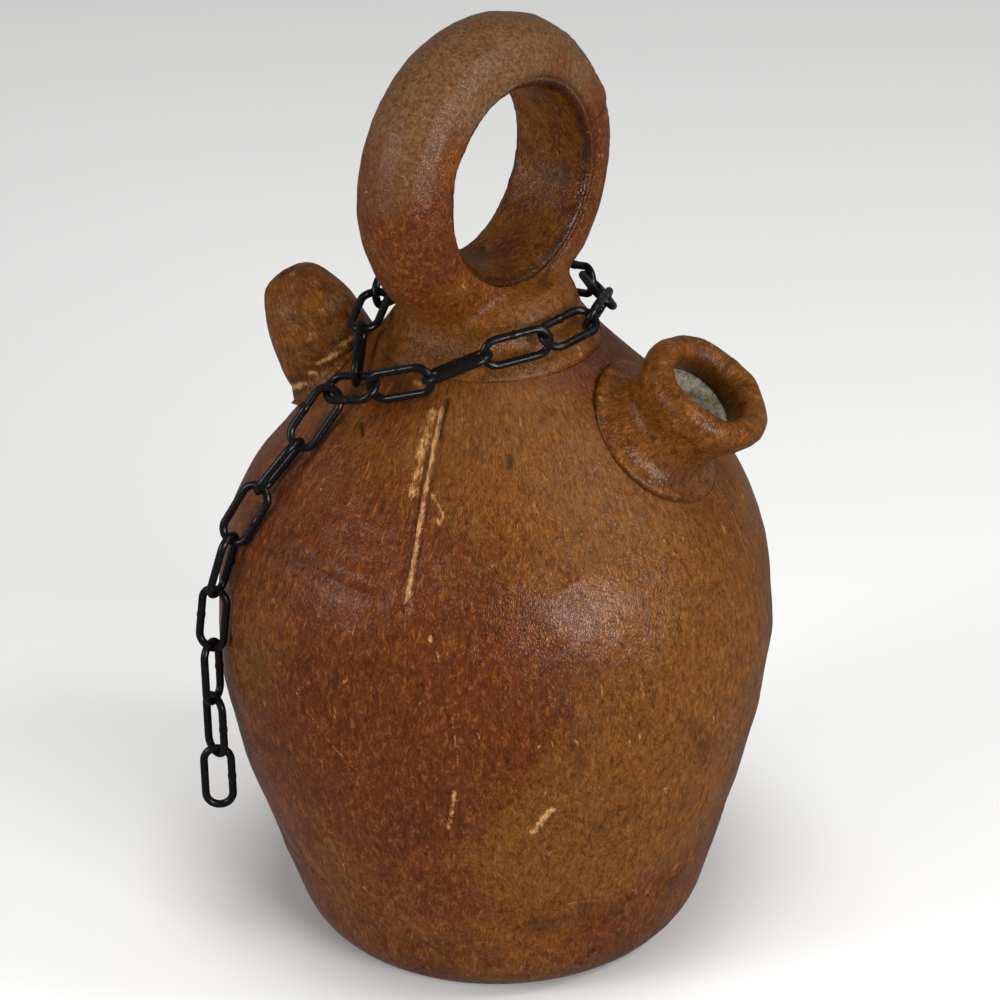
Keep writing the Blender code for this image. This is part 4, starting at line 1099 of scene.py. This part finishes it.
def area_light(name, azimuth, elevation, distance, size, watts, mirrored=True):
    """A soft light that looks at the jug's middle, placed by degrees about Z and above the floor."""
    data = bpy.data.lights.new(name, "AREA")
    data.shape = "RECTANGLE"
    data.size, data.size_y = size
    data.energy = watts
    made = bpy.data.objects.new(name, data)
    bpy.context.scene.collection.objects.link(made)
    around, above = math.radians(azimuth), math.radians(elevation)
    away = Vector((math.cos(above) * math.cos(around), math.cos(above) * math.sin(around), math.sin(above)))
    place = Vector((0, 0, AIM_HEIGHT)) + distance * away
    made.matrix_world = Matrix.Translation(place) @ away.to_track_quat("Z", "Y").to_matrix().to_4x4()
    made.visible_glossy = mirrored


def studio():
    """Pale floor and soft light."""
    reach = 6.0
    mesh = bpy.data.meshes.new("floor")
    corners = [(-reach, -reach, 0), (reach, -reach, 0), (reach, reach, 0), (-reach, reach, 0)]
    mesh.from_pydata(corners, [], [(0, 1, 2, 3)])
    floor = placed("floor", mesh)
    pale = bpy.data.materials.new("pale_floor")
    pale.use_nodes = True
    inputs = pale.node_tree.nodes["Principled BSDF"].inputs
    inputs["Base Color"].default_value = (0.97, 0.97, 0.96, 1)
    inputs["Roughness"].default_value = 0.8
    floor.data.materials.append(pale)
    floor.visible_glossy = False
    world = bpy.data.worlds.new("studio")
    world.use_nodes = True
    inputs = world.node_tree.nodes["Background"].inputs
    inputs["Color"].default_value = (1, 1, 1, 1)
    inputs["Strength"].default_value = 0.16
    bpy.context.scene.world = world
    bpy.context.scene.view_settings.view_transform = "Standard"
    area_light("window", -28, 13, 1.5, (0.72, 0.44), 16.0)
    area_light("high_window", 7, 42, 1.5, (0.24, 0.40), 5.0)
    area_light("left_window", -134, 22, 1.6, (0.5, 0.6), 7.0)
    area_light("left_fill", -130, 6, 1.6, (0.9, 0.6), 7.0, mirrored=False)
    area_light("ceiling", -60, 80, 2.2, (1.0, 1.0), 27.0, mirrored=False)


LEATHER = leather_finish()
CLAY = clay_finish()
STEEL = steel_finish()

camera()
studio()
body_panel("front_left_panel", seam(LEFT_SEAM, -360.0), seam(FRONT_SEAM), FINE, 0.0)
body_panel("front_right_panel", seam(FRONT_SEAM), seam(RIGHT_SEAM), FINE, 0.0)
body_panel("rear_right_panel", seam(RIGHT_SEAM), seam(REAR_SEAM), COARSE)
body_panel("rear_left_panel", seam(REAR_SEAM), seam(LEFT_SEAM), COARSE)
base_cup()
filling_sleeve()
drinking_sleeve()
ring_cover()
ring_liner()
clay_piece()
for node in frame["nodes"]:
    if "link" in node:
        chain_link(node)
